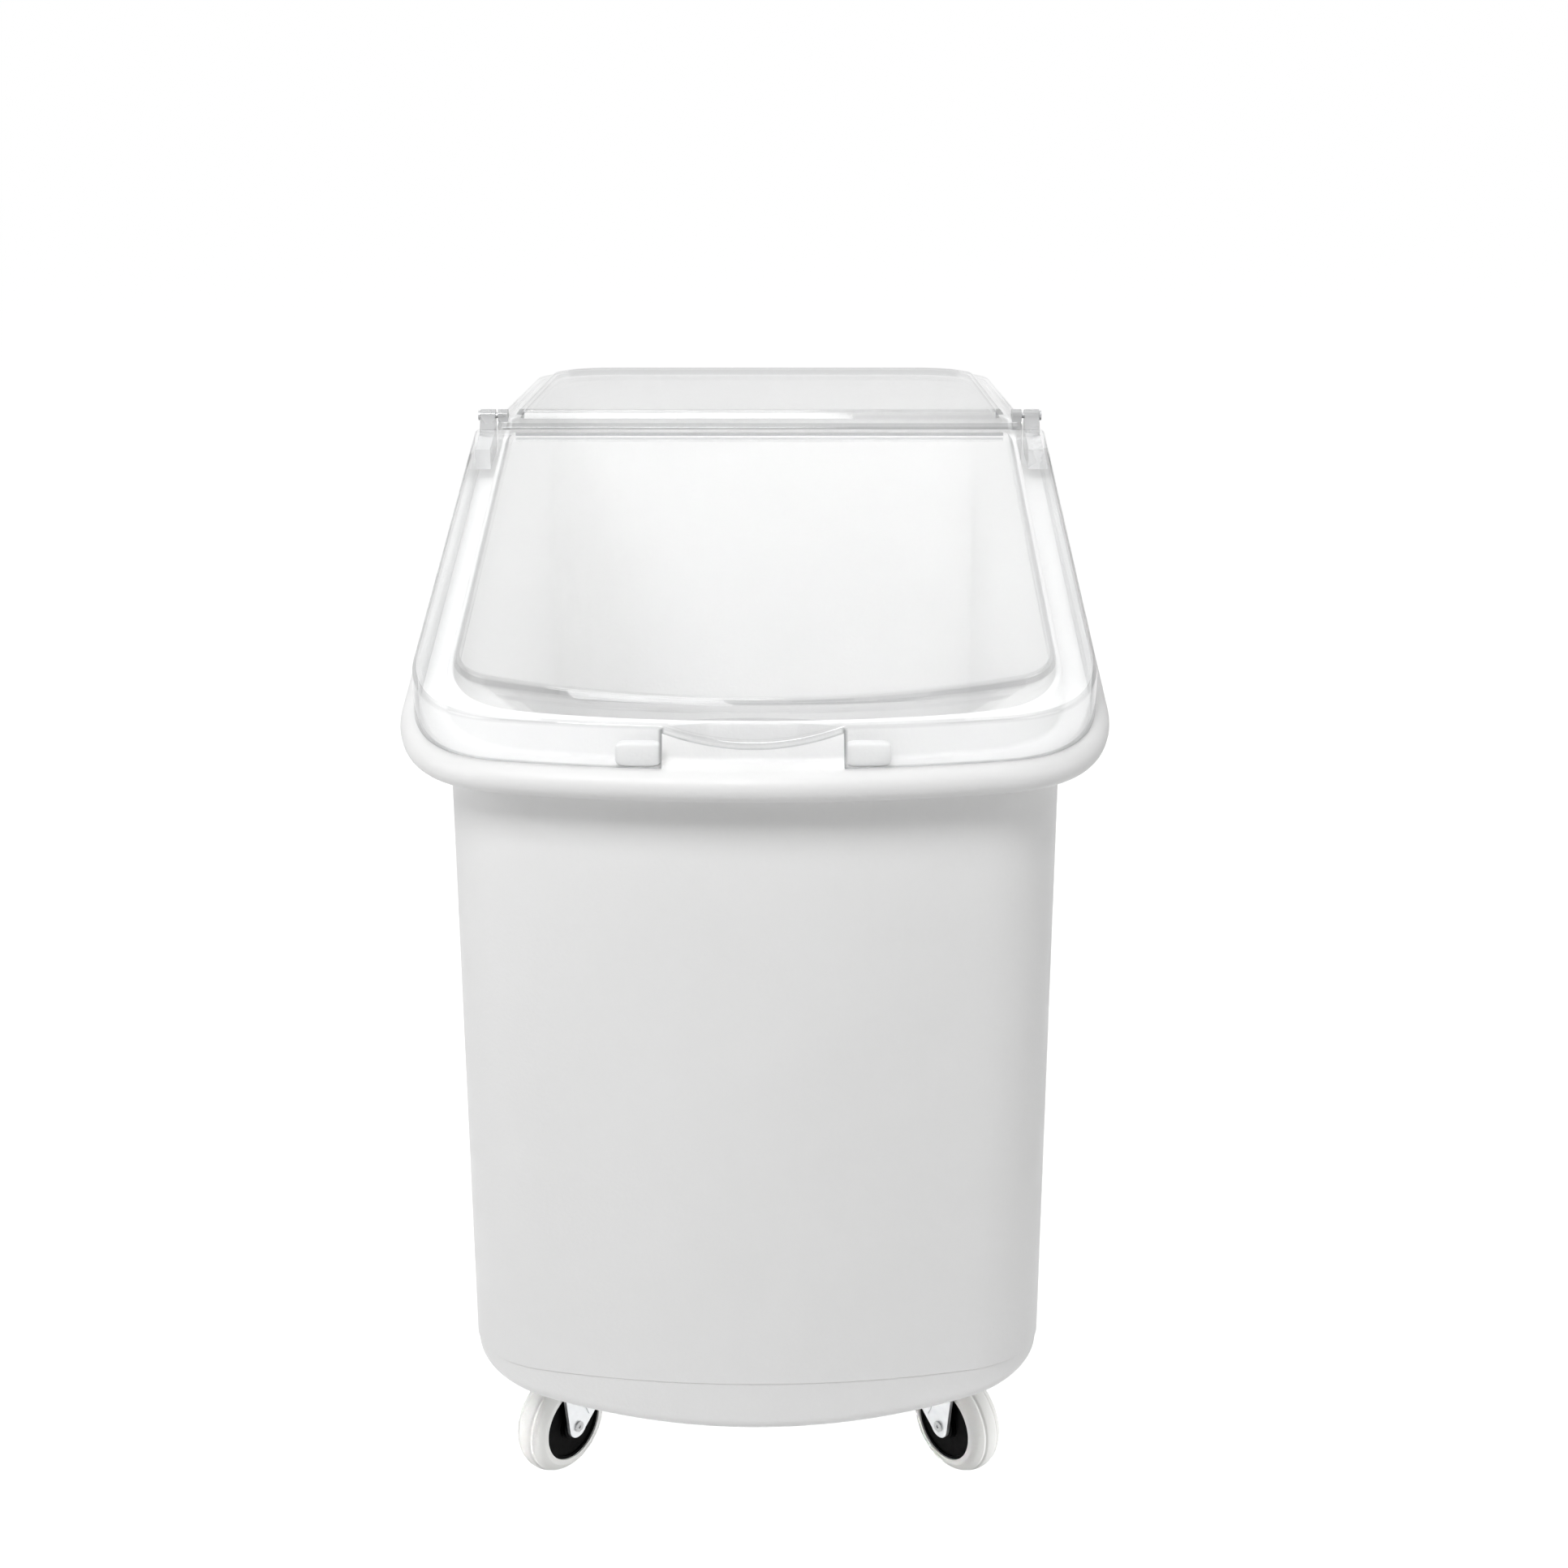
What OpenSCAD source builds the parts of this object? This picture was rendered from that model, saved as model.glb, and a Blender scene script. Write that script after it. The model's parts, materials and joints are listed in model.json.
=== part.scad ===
// Rolling flour bin: a white slant-top tub under two clear lids, on four swivel casters.
// Millimetres. X runs to the right, Y to the rear and Z up from the floor, under the middle of the rim.

/* [Tub] */
// Outside width of the walls at the rim
bin_w = 367; // [320:1:420]
// Outside depth of the walls at the rim, along the middle
bin_d = 702; // [620:1:800]
// Radius of the bowed front wall, seen from above
front_bow_r = 550; // [400:10:1500]
// Radius of the front corners, seen from above
front_corner_r = 62; // [50:1:80]
// Radius of the rear corners, seen from above
rear_corner_r = 55; // [45:1:80]
// Thickness of the walls and the floor
wall_t = 4; // [3:0.5:6]
// Draft of the walls, in degrees
wall_draft = 0.1; // [0:0.1:1]
// Thickness of the caster pads where they would meet the middle of the underside
pad_lead = 2; // [1:0.5:6]
// Radius of the cambered underside, seen from the front
camber_r = 800; // [600:10:2000]
// Radius along the lower edge of the walls
base_edge_r = 9; // [6:1:24]
// Height of the plain band round the base
base_band_h = 35; // [30:1:60]
// Depth of the step over that band
base_band_step = 1; // [0.5:0.1:2]

/* [Rim] */
// Height of the rim's ledge across the front
front_rim_z = 542.5; // [480:0.5:580]
// Height of the rim's ledge at the rear
rear_rim_z = 663; // [620:0.5:720]
// Distance from the front of the rim to the foot of its slope
slope_start = 53; // [40:1:80]
// Distance from the front of the rim to the head of its slope
slope_end = 430; // [380:1:480]
// How far the rim stands out from the walls
rim_reach = 29; // [26:1:40]
// Thickness of the rounded rim
rim_t = 18; // [12:1:24]
// Radius of the fillet under the rim
rim_fillet_r = 10; // [4:1:16]
// Height of the collar round the mouth, over the ledge
collar_h = 23.2; // [16:0.1:30]

/* [Lids] */
// Thickness of the lids
lid_t = 3; // [2:0.5:4]
// Gap between the collar and the underside of the lids
collar_gap = 0.8; // [0.6:0.1:1.5]
// Gap between the ledge and the lower edge of the skirts
ledge_gap = 0.8; // [0.6:0.1:2]
// How far the front lid stands out from the walls
front_lid_reach = 20.5; // [19:0.5:24]
// How far the rear lid stands out from the walls
rear_lid_reach = 5.5; // [5:0.5:10]
// Distance from the head of the slope forward to the split between the lids
split_lead = 18; // [14:1:24]
// Gap between the two lids along the split
lid_split = 4; // [3:0.5:8]
// Radius of the upper edge of the lids
lid_edge_r = 3; // [1:0.5:4]
// How far the raised panels stand over their flanges
panel_raise = 4; // [2:0.5:8]
// Distance from the front lid's edge to its raised panel, at the sides
panel_side = 26.5; // [20:0.5:40]
// Distance from the front lid's edge to its raised panel, at the front
panel_front = 44.5; // [30:0.5:60]
// Distance from the front lid's edge to its raised panel, along the split
panel_split = 15; // [8:0.5:30]
// Distance from the rear lid's edge to its raised panel, at the sides and the rear
rear_panel_in = 14; // [13:0.5:30]
// Corner radius of the front lid's raised panel
panel_r = 30; // [15:1:45]
// Width of the finger notch in the front skirt
grip_w = 102; // [80:1:140]
// How far the scooped grip lip hangs below the flange
grip_drop = 9; // [5:0.5:11]
// How far the scoop reaches back into the flange
grip_scoop = 12; // [6:0.5:24]
// Width of each lid stop on the front ledge
stop_w = 26; // [16:1:40]
// Depth of each lid stop
stop_d = 9; // [6:0.5:9.5]
// Height of each lid stop
stop_h = 14; // [8:0.5:16]

/* [Hinge] */
// Diameter of the hinge pins
pin_d = 4; // [3:0.5:4.5]
// Running clearance of the hinge pins in the ears, on the radius
pin_run = 0.06; // [0.02:0.01:0.1]
// Radius of the ears and lugs round the pins
knuckle_r = 4.5; // [4.5:0.5:5.5]
// Height of the pins over the rear lid's flange
pin_rise = 3.5; // [3.2:0.1:4.5]
// Distance from the rear lid's front edge back to the pins
pin_set = 8; // [7:0.5:10]
// Thickness of the lugs on the rear lid
lug_t = 7; // [6:0.5:7.5]
// Gap between the ears and the rear lid
ear_gap = 1.5; // [0.5:0.1:3]
// Length of the ears from the pin to their front end
ear_len = 38; // [28:1:60]
// Height of the ears at their front end
ear_h = 14; // [10:0.5:16]

/* [Caster places] */
// Distance of the swivel axes from the middle
caster_x = 123; // [100:1:126]
// Distance from the front of the rim to the front swivel axes
caster_front = 171; // [150:1:200]
// Distance from the rear of the rim to the rear swivel axes
caster_rear = 135; // [120:1:200]
// Angle that the front casters are turned out, in degrees
front_turn = 38; // [0:1:180]
// Angle that the rear casters are turned out, in degrees
rear_turn = 20; // [0:1:180]

/* [Casters] */
// Height of a caster from the floor to the top of its plate
caster_h = 102; // [100:0.5:120]
// Diameter of the wheels
wheel_d = 72; // [65:1:78]
// Width of the wheels
wheel_w = 25; // [22:1:32]
// Diameter of the hubs under the tyres
hub_d = 50; // [44:1:54]
// Diameter of the tyres at their side faces
tyre_side_d = 57; // [56:1:62]
// Distance of the axle behind the swivel axis
trail = 22; // [18:1:28]
// Side length of the top plates
plate_w = 60; // [56:1:66]
// Thickness of the top plates
plate_t = 2.5; // [2:0.5:4]
// Corner radius of the top plates and pads
plate_r = 7; // [4:0.5:9]
// Distance between the plate bolts
bolt_pitch = 44; // [42:0.5:48]
// Diameter of the plate bolts
bolt_d = 6; // [5:0.5:8]
// Length of the plate bolts under their heads
bolt_l = 9; // [6:0.5:9.5]
// Margin of the caster pads round the plates
pad_margin = 3; // [0:0.5:5]
// Thickness of the fork's sheet
fork_t = 2.5; // [2:0.5:3.5]
// Gap between each side of a wheel and its fork
fork_gap = 1.7; // [1:0.1:4]
// Radius of the fork legs round the axle
fork_end_r = 8; // [7:0.5:10]
// Diameter of the kingpins
king_d = 10; // [8:0.5:12]
// Diameter of the balls in the swivel bearing
ball_d = 5; // [4:0.5:6]
// Number of balls in the swivel bearing
ball_count = 14; // [8:1:16]
// Radius of the ball circle
ball_circle_r = 17; // [16:0.5:18]
// Diameter of the axles
axle_d = 6; // [5:0.5:8]
// Wall of the bushes on the axles
bush_t = 2; // [1:0.5:3]
// Running clearance of the hubs and forks, on the radius
run_gap = 0.08; // [0.02:0.01:0.1]

/* [Hidden] */
CASTERS = ["front_left", "front_right", "rear_left", "rear_right"];
CASTER_PIECES = ["plate", "kingpin", "balls", "fork", "axle", "axle_nut", "bush", "hub", "tyre"];
$fn = 48;

// Places along Y
rim_front_y = -bin_d / 2 - rim_reach;
rim_rear_y = bin_d / 2 + rim_reach;
slope_y = rim_front_y + slope_start;
hinge_y = rim_front_y + slope_end;
split_y = hinge_y - split_lead;
pin_y = split_y + pin_set;
lid_rear_y = split_y - lid_split;

// Heights
base_z = caster_h + pad_lead;
lid_h = collar_h + collar_gap + lid_t;
rear_lid_z = rear_rim_z + lid_h;
slope = (rear_rim_z - front_rim_z) / (slope_end - slope_start);
slope_bend = 25;
hinge_bend = 4;

// Moulding details
collar_foot_r = 2.5;
panel_edge_r = 2;
panel_step = 2;
split_lip = lid_t + collar_gap / 2;
lid_corner_r = 4;
rear_panel_corner_r = 4;
grip_lip = 2.5;
floor_edge_r = max(base_edge_r - wall_t, 2);
notch_edge = 0.5;
straight = 1e5;
// How far cutters run past the faces they cut
over = 1;

// Curves: steps round the arcs of the outlines and profiles
corner_steps = 9;
edge_steps = 4;
lip_steps = 2;
nose_steps = 8;
bow_steps = 9;
floor_shares = [0.25, 0.5, 0.75];

// Caster details
wheel_r = wheel_d / 2;
plate_z = caster_h - plate_t;
race_h = 5.5;
race_wall = 3.8;
race_bottom_z = plate_z - race_h;
ball_bite = 0.8;
ball_seat_gap = 0.1;
ball_z = race_bottom_z + ball_bite - ball_d / 2;
crown_top_z = ball_z - ball_d / 2 + ball_bite;
crown_margin = 4;
crown_r = ball_circle_r + ball_d / 2 + crown_margin;
leg_x = wheel_w / 2 + fork_gap;
king_head_margin = 4;
king_head_r = king_d / 2 + king_head_margin;
king_head_h = 3;
king_gap = 0.3;
axle_head_margin = 0.8;
axle_head_r = axle_d / 2 + axle_head_margin;
axle_head_h = 1.2;
axle_dimple_r = 1.2;
axle_dimple = 0.6;
nut_h = 5;
nut_margin = 3;
nut_r = axle_d / 2 + nut_margin;
axle_tail = 2;
bush_r = axle_d / 2 + bush_t;
hub_side_gap = 0.5;
hub_face_in = 1.2;
hub_dish = 0.8;
hub_boss_wall = 5;
hub_rim_wall = 2;
hub_groove = 1;
bolt_head_margin = 2.5;
bolt_head_r = bolt_d / 2 + bolt_head_margin;
bolt_head_h = 3.5;
bolt_gap = 0.3;

function lerp(a, b, f) = a + (b - a) * f;

// A ramp from 0 that starts at u = 0, eased over b to either side of its start.
function eased(u, b) = u <= -b ? 0 : u >= b ? u : (u + b) * (u + b) / (4 * b);

// Height of the ledge, the lids' flanges, the front lid's panel and the underside of the tub.
function front_rise(y) = slope * eased(y - slope_y, slope_bend);
function rim_z(y) = front_rim_z + front_rise(y) - slope * eased(y - hinge_y, hinge_bend);
function front_lid_z(y) = front_rim_z + lid_h + front_rise(y);
function rear_flange_z(y) = rim_z(y) + lid_h;
function panel_z(y) = front_rim_z + lid_h + slope * (y - slope_y) + panel_raise;
function under_z(x) = base_z + camber_r - sqrt(camber_r * camber_r - x * x);
function draft_in(z) = -tan(wall_draft) * (rear_rim_z - z);

// A plan outline is [half width, front y, rear y, bow radius, front corner radius, rear corner radius].

// The right half of a plan outline from the front middle to the rear middle, as [x, y, angle of the normal].
// bow and tail are the places along the front and the rear line, and sides lists the stops along the side.
function half_outline(plan, bow, sides, tail) =
    let (
        bow_y = plan[1] + plan[3],
        corner_x = plan[0] - plan[4],
        turn = asin(corner_x / (plan[3] - plan[4])),
        corner_y = bow_y - (plan[3] - plan[4]) * cos(turn),
        rear_x = plan[0] - plan[5],
        rear_y = plan[2] - plan[5]
    )
    concat(
        [for (f = bow) [plan[3] * sin(f * turn), bow_y - plan[3] * cos(f * turn), f * turn]],
        [for (i = [1:corner_steps]) let (a = lerp(turn, 90, i / corner_steps))
            [corner_x + plan[4] * sin(a), corner_y - plan[4] * cos(a), a]],
        [for (f = sides) [plan[0], lerp(corner_y, rear_y, f), 90]],
        [for (i = [0:corner_steps]) let (a = 90 + 90 * i / corner_steps)
            [rear_x + plan[5] * sin(a), rear_y - plan[5] * cos(a), a]],
        [for (f = tail) [lerp(rear_x, 0, f), plan[2], 180]]
    );

// Both halves of a list that starts and ends on the middle plane.
function both(half) = concat(half, [for (i = [len(half) - 2:-1:1]) half[i]]);
function mirrored(half) =
    concat(half, [for (i = [len(half) - 2:-1:1]) [-half[i][0], half[i][1], -half[i][2]]]);

// The loop that runs by a distance outside an outline.
function pushed(p, by) = [p[0] + by * sin(p[2]), p[1] - by * cos(p[2])];

// A closed skin through a list of loops, all with the same number of points and counterclockwise from above.
// The first loop is closed by a fan that looks up, about the point top, and the last by one that looks down.
module skin(loops, top, bottom) {
    n = len(loops[0]);
    last = (len(loops) - 1) * n;
    walls = [for (k = [0:len(loops) - 2]) for (i = [0:n - 1])
        let (j = (i + 1) % n, a = k * n + i, b = k * n + j)
        each [[a, b, b + n], [a, b + n, a + n]]];
    polyhedron(
        points = concat([for (loop = loops) each loop], [top, bottom]),
        faces = concat(
            walls,
            [for (i = [0:n - 1]) [last + n, (i + 1) % n, i]],
            [for (i = [0:n - 1]) [last + n + 1, last + i, last + (i + 1) % n]]
        )
    );
}

// A loop of a cambered face, drawn in to a share of its size.
function drawn_in(loop, share, lift) =
    [for (p = loop) [p.x * share, p.y * share, under_z(p.x * share) + lift]];

// The middle of a loop.
function middle(loop) = [for (p = loop) 1] * loop / len(loop);

module mirror_pair() {
    children();
    mirror([1, 0, 0]) children();
}

// Tub

tub_plan = [bin_w / 2, -bin_d / 2, bin_d / 2, front_bow_r, front_corner_r, rear_corner_r];

// Stops along the side of the tub, close together at the head of the slope.
function tub_sides() =
    let (
        corner_y = tub_plan[1] + front_bow_r - sqrt(
            pow(front_bow_r - front_corner_r, 2) - pow(tub_plan[0] - front_corner_r, 2)),
        rear_y = tub_plan[2] - rear_corner_r
    )
    [for (y = [lerp(corner_y, hinge_y, 0.3), lerp(corner_y, hinge_y, 0.6), hinge_y - hinge_bend, hinge_y,
               hinge_y + hinge_bend, lerp(hinge_y, rear_y, 0.5)])
        (y - corner_y) / (rear_y - corner_y)];

tub_stations = mirrored(half_outline(
    tub_plan, [for (i = [0:bow_steps]) i / bow_steps], tub_sides(), [0.5, 1]));

// Loops at a height over the rim's ledge, at one level, or over the underside.
function rim_loop(out, up) =
    [for (p = tub_stations) let (q = pushed(p, out)) [q.x, q.y, rim_z(q.y) + up]];
function wall_loop(out, up) =
    [for (p = tub_stations) let (z = rim_z(p[1]) + up, q = pushed(p, out + draft_in(z))) [q.x, q.y, z]];
function level_loop(out, z) =
    [for (p = tub_stations) let (q = pushed(p, out + draft_in(z))) [q.x, q.y, z]];
function base_loop(out, up) =
    [for (p = tub_stations) let (q = pushed(p, out + draft_in(base_z))) [q.x, q.y, under_z(q.x) + up]];

module bin_tub() {
    band_z = base_z + base_band_h;
    nose_r = rim_t / 2;
    floor_edge = base_loop(-wall_t - floor_edge_r, wall_t);
    under_edge = base_loop(-base_band_step - base_edge_r, 0);
    loops = concat(
        [for (f = floor_shares) drawn_in(floor_edge, f, wall_t)],
        [for (i = [0:edge_steps]) let (a = 90 * i / edge_steps)
            base_loop(-wall_t - floor_edge_r * (1 - sin(a)), wall_t + floor_edge_r * (1 - cos(a)))],
        [for (i = [0:edge_steps]) let (a = 180 - 180 * i / edge_steps)
            rim_loop(wall_t / 2 * (cos(a) - 1), collar_h - wall_t / 2 * (1 - sin(a)))],
        [for (i = [0:lip_steps]) let (a = 90 - 90 * i / lip_steps)
            rim_loop(collar_foot_r * (1 - sin(a)), collar_foot_r * (1 - cos(a)))],
        [for (i = [0:nose_steps]) let (a = 90 - 180 * i / nose_steps)
            rim_loop(rim_reach - nose_r * (1 - cos(a)), -nose_r * (1 - sin(a)))],
        [for (i = [0:edge_steps]) let (a = 90 - 90 * i / edge_steps)
            wall_loop(rim_fillet_r * (1 - cos(a)), -rim_t - rim_fillet_r * (1 - sin(a)))],
        [level_loop(0, band_z + base_band_step / 2)],
        [level_loop(-base_band_step, band_z - base_band_step / 2)],
        [for (i = [0:edge_steps]) let (a = 90 - 90 * i / edge_steps)
            base_loop(-base_band_step - base_edge_r * (1 - sin(a)), base_edge_r * (1 - cos(a)))],
        [for (i = [len(floor_shares) - 1:-1:0]) drawn_in(under_edge, floor_shares[i], 0)]
    );
    color("white") skin(loops, [0, 0, base_z + wall_t], [0, 0, base_z]);
}

// Two soft white blocks on the front ledge, one at each end of the finger notch.
module lid_stops() {
    round_r = 3;
    side_gap = 1;
    foot_gap = 0.3;
    y0 = -bin_d / 2 - collar_foot_r - foot_gap - stop_d;
    color("white") mirror_pair() translate([grip_w / 2 + side_gap, y0, front_rim_z]) hull() {
        for (x = [round_r, stop_w - round_r], y = [round_r, stop_d - round_r]) {
            translate([x, y, 0]) cylinder(r = round_r, h = stop_h - round_r, $fn = 24);
            translate([x, y, stop_h - round_r]) sphere(r = round_r, $fn = 24);
        }
    }
}

// Lids

front_lid_plan = [bin_w / 2 + front_lid_reach, -bin_d / 2 - front_lid_reach, lid_rear_y,
                  front_bow_r + front_lid_reach, front_corner_r + front_lid_reach, lid_corner_r];
front_panel_plan = [front_lid_plan[0] - panel_side, front_lid_plan[1] + panel_front, lid_rear_y - panel_split,
                    front_bow_r, panel_r, lid_corner_r];
rear_lid_plan = [bin_w / 2 + rear_lid_reach, split_y, bin_d / 2 + rear_lid_reach, straight, lid_corner_r,
                 rear_corner_r + rear_lid_reach];
rear_panel_plan = [rear_lid_plan[0] - rear_panel_in, hinge_y - hinge_bend,
                   rear_lid_plan[2] - rear_panel_in, straight, rear_panel_corner_r,
                   rear_lid_plan[5] - rear_panel_in];

lid_sides = [0.33, 0.67];
notch_steps = 6;
beside_steps = 3;
front_bow_half = asin((front_lid_plan[0] - front_lid_plan[4]) / (front_lid_plan[3] - front_lid_plan[4]));
function bow_share(x) = asin(x / front_lid_plan[3]) / front_bow_half;
notch_end = bow_share(grip_w / 2);
notch_past = bow_share(grip_w / 2 + notch_edge);
front_bow = concat([for (i = [0:notch_steps]) notch_end * i / notch_steps],
                   [for (i = [0:beside_steps]) lerp(notch_past, 1, i / beside_steps)]);
front_tail = [notch_edge / front_lid_plan[0], 0.5, 1];
rear_bow = [0, 0.5, 1 - notch_edge / rear_lid_plan[0], 1];
rear_tail = [0.5, 1];

// Stops along a side of the rear lid: some at distances from the head of the slope, where its edge bends, and
// the others in shares. Those of its level panel lie close behind the panel's front corners.
edge_bend_stops = [for (f = [-2.2, -1, 0, 1]) hinge_y + f * hinge_bend];
panel_bend_stops = [for (y = [1, 2, 3, 5]) hinge_y - hinge_bend + rear_panel_corner_r + y];
function rear_sides(plan, stops) =
    let (front_y = plan[1] + plan[4], run = plan[2] - plan[5] - front_y)
    concat([for (y = stops) (y - front_y) / run], lid_sides);

function front_loop_plan(plan) = mirrored(half_outline(plan, front_bow, lid_sides, front_tail));
function rear_half(plan, stops) = half_outline(plan, rear_bow, rear_sides(plan, stops), rear_tail);

// How deep the grip is scooped at each point round the front lid: 1 in the middle of the notch, 0 outside.
front_count = len(half_outline(front_lid_plan, front_bow, lid_sides, front_tail));
front_scoop = both([for (i = [0:front_count - 1]) i < notch_steps ? 1 - pow(i / notch_steps, 2) : 0]);
// Which points have a short lip in place of a full skirt: the notch and the split on the front lid, and the
// split on the rear lid.
front_short = both([for (i = [0:front_count - 1])
    i <= notch_steps ? 1 : i >= front_count - len(front_tail) ? 2 : 0]);
rear_count = len(rear_half(rear_lid_plan, edge_bend_stops));
rear_short = both([for (i = [0:rear_count - 1]) i < len(rear_bow) - 1 ? 2 : 0]);

// A loop of the front lid's flange or skirt, at a distance outside its edge and a height over its flange.
// The scoop draws the loop back and lets it hang.
function flange_loop(out, up, draw, hang) =
    let (stations = front_loop_plan(front_lid_plan))
    [for (i = [0:len(stations) - 1])
        let (q = pushed(stations[i], out - draw * front_scoop[i]))
        [q.x, q.y, front_lid_z(q.y) + up - hang * front_scoop[i]]];
// The lower edge of its skirt.
function front_hem(out) =
    let (stations = front_loop_plan(front_lid_plan))
    [for (i = [0:len(stations) - 1])
        let (q = pushed(stations[i], out), z = front_lid_z(stations[i][1]))
        [q.x, q.y, front_short[i] == 2 ? z - split_lip
            : front_short[i] == 1 ? z - lid_edge_r - grip_lip - grip_drop * front_scoop[i]
            : front_rim_z + front_rise(stations[i][1]) + ledge_gap]];
// Loops round its raised panel, on the flange or on the panel.
function panel_foot(out, up) =
    [for (p = front_loop_plan(front_panel_plan)) let (q = pushed(p, out)) [q.x, q.y, front_lid_z(q.y) + up]];
function panel_edge(out, up) =
    [for (p = front_loop_plan(front_panel_plan)) let (q = pushed(p, out)) [q.x, q.y, panel_z(q.y) + up]];

module front_lid() {
    loops = concat(
        [for (i = [0:lip_steps]) let (a = 90 * i / lip_steps)
            panel_edge(-panel_edge_r * (1 - sin(a)), -panel_edge_r * (1 - cos(a)))],
        [panel_foot(panel_step, 0), flange_loop(-lid_edge_r, 0, grip_scoop, 0)],
        [for (i = [1:lip_steps]) let (a = 90 * i / lip_steps)
            flange_loop(-lid_edge_r * (1 - sin(a)), -lid_edge_r * (1 - cos(a)), 0, grip_drop)],
        [front_hem(0), front_hem(-lid_t)],
        [flange_loop(-lid_t, -lid_t, 0, grip_drop), flange_loop(-lid_t - lid_edge_r, -lid_t, grip_scoop, 0)],
        [panel_foot(panel_step - lid_t, -lid_t), panel_edge(-lid_t, -lid_t)]
    );
    color("aliceblue", 0.5) skin(loops, middle(loops[0]), middle(loops[len(loops) - 1]));
}

// Loops of the rear lid: round its level panel, round its flange's edge and along its skirt's lower edge.
rear_edge = mirrored(rear_half(rear_lid_plan, edge_bend_stops));
rear_panel_edge = mirrored(rear_half(rear_panel_plan, panel_bend_stops));
function rear_panel_loop(out, up) =
    [for (p = rear_panel_edge) let (q = pushed(p, out)) [q.x, q.y, rear_lid_z + up]];
function rear_loop(out, up) =
    [for (p = rear_edge) let (q = pushed(p, out)) [q.x, q.y, rear_flange_z(q.y) + up]];
function rear_hem(out) =
    [for (i = [0:len(rear_edge) - 1]) let (q = pushed(rear_edge[i], out), y = rear_edge[i][1])
        [q.x, q.y, rear_short[i] == 2 ? rear_flange_z(q.y) - split_lip : rim_z(y) + ledge_gap]];

module rear_lid() {
    loops = concat(
        [for (i = [0:lip_steps]) let (a = 90 * i / lip_steps)
            rear_panel_loop(-panel_edge_r * (1 - sin(a)), panel_raise - panel_edge_r * (1 - cos(a)))],
        [rear_panel_loop(panel_step, 0)],
        [for (i = [0:lip_steps]) let (a = 90 * i / lip_steps)
            rear_loop(-lid_edge_r * (1 - sin(a)), -lid_edge_r * (1 - cos(a)))],
        [rear_hem(0), rear_hem(-lid_t)],
        [rear_loop(-lid_t, -lid_t)],
        [rear_panel_loop(panel_step - lid_t, -lid_t)],
        [rear_panel_loop(-lid_t, panel_raise - lid_t)]
    );
    color("aliceblue", 0.5) skin(loops, middle(loops[0]), middle(loops[len(loops) - 1]));
}

// Hinge

pin_z = rear_flange_z(pin_y) + pin_rise;
rear_lid_side = bin_w / 2 + rear_lid_reach;
ear_x = rear_lid_side + ear_gap;
ear_t = bin_w / 2 + front_lid_reach - lid_t - ear_x;
lug_side_in = 0.5;
lug_lift = 0.8;
lug_x = rear_lid_side - lug_side_in - lug_t;
hinge_clear = 0.3;
pin_head_margin = 1.5;
pin_head_r = pin_d / 2 + pin_head_margin;
pin_head_h = 1.5;
neck_angle = 60;

// Draws its children, a profile in Y and Z, as a plate from x over a thickness.
module side_plate(x, t) {
    translate([x, 0, 0]) rotate([90, 0, 90]) linear_extrude(t) children();
}

// One ear: a plate under the front lid's flange, against its skirt, that rises behind the lid to the pin.
// It is relieved where the skirt turns in at the lid's rear corner.
module hinge_ear() {
    front_y = pin_y - ear_len;
    under = split_lip + hinge_clear;
    rise_y = lid_rear_y + hinge_clear;
    neck_r = knuckle_r - hinge_clear;
    relief = lid_corner_r - lid_t + hinge_clear;
    relief_y = lid_rear_y - lid_corner_r - hinge_clear;
    low_z = front_lid_z(lid_rear_y) - under - ear_h;
    color("aliceblue", 0.5) difference() {
        union() {
            side_plate(ear_x, ear_t) translate([pin_y, pin_z]) circle(knuckle_r);
            side_plate(ear_x, ear_t) polygon([
                [front_y, front_lid_z(front_y) - under - ear_h],
                [front_y, front_lid_z(front_y) - under],
                [rise_y, front_lid_z(lid_rear_y) - under],
                [rise_y, front_lid_z(lid_rear_y) - lid_t],
                [pin_y - neck_r * sin(neck_angle), pin_z + neck_r * cos(neck_angle)],
                [pin_y + neck_r, pin_z],
                [pin_y + knuckle_r / 2, low_z + lid_t],
                [pin_y - knuckle_r / 2, low_z]
            ]);
        }
        side_plate(ear_x - over, ear_t + 2 * over) translate([pin_y, pin_z]) circle(pin_d / 2 + pin_run);
        translate([ear_x + ear_t - relief, relief_y, low_z - ear_h])
            cube([relief + over, rise_y - relief_y, 3 * ear_h]);
    }
}

module hinge_ear_right() {
    hinge_ear();
}

module hinge_ear_left() {
    mirror([1, 0, 0]) hinge_ear();
}

// Upright lugs on the rear lid's front corners, which carry the pins. Their feet follow the flange's edge,
// lifted a little because the flange rises inwards from there.
module hinge_lugs() {
    foot_front = pin_y - knuckle_r;
    foot_rear = pin_y + knuckle_r;
    low_z = pin_z - 4 * knuckle_r;
    function foot_z(y) = rear_flange_z(y) + lug_lift;
    color("aliceblue", 0.5) mirror_pair() difference() {
        side_plate(lug_x, lug_t) {
            translate([pin_y, pin_z]) circle(knuckle_r);
            polygon([
                [foot_front, foot_z(foot_front)], [foot_rear, foot_z(foot_rear)],
                [foot_rear, pin_z], [foot_front, pin_z]
            ]);
        }
        side_plate(lug_x - over, lug_t + 2 * over) polygon([
            [foot_front - over, foot_z(foot_front - over)],
            [foot_rear + over, foot_z(foot_rear + over)],
            [foot_rear + over, low_z], [foot_front - over, low_z]
        ]);
        side_plate(lug_x - over, lug_t + 2 * over) translate([pin_y, pin_z]) circle(pin_d / 2);
    }
}

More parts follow.
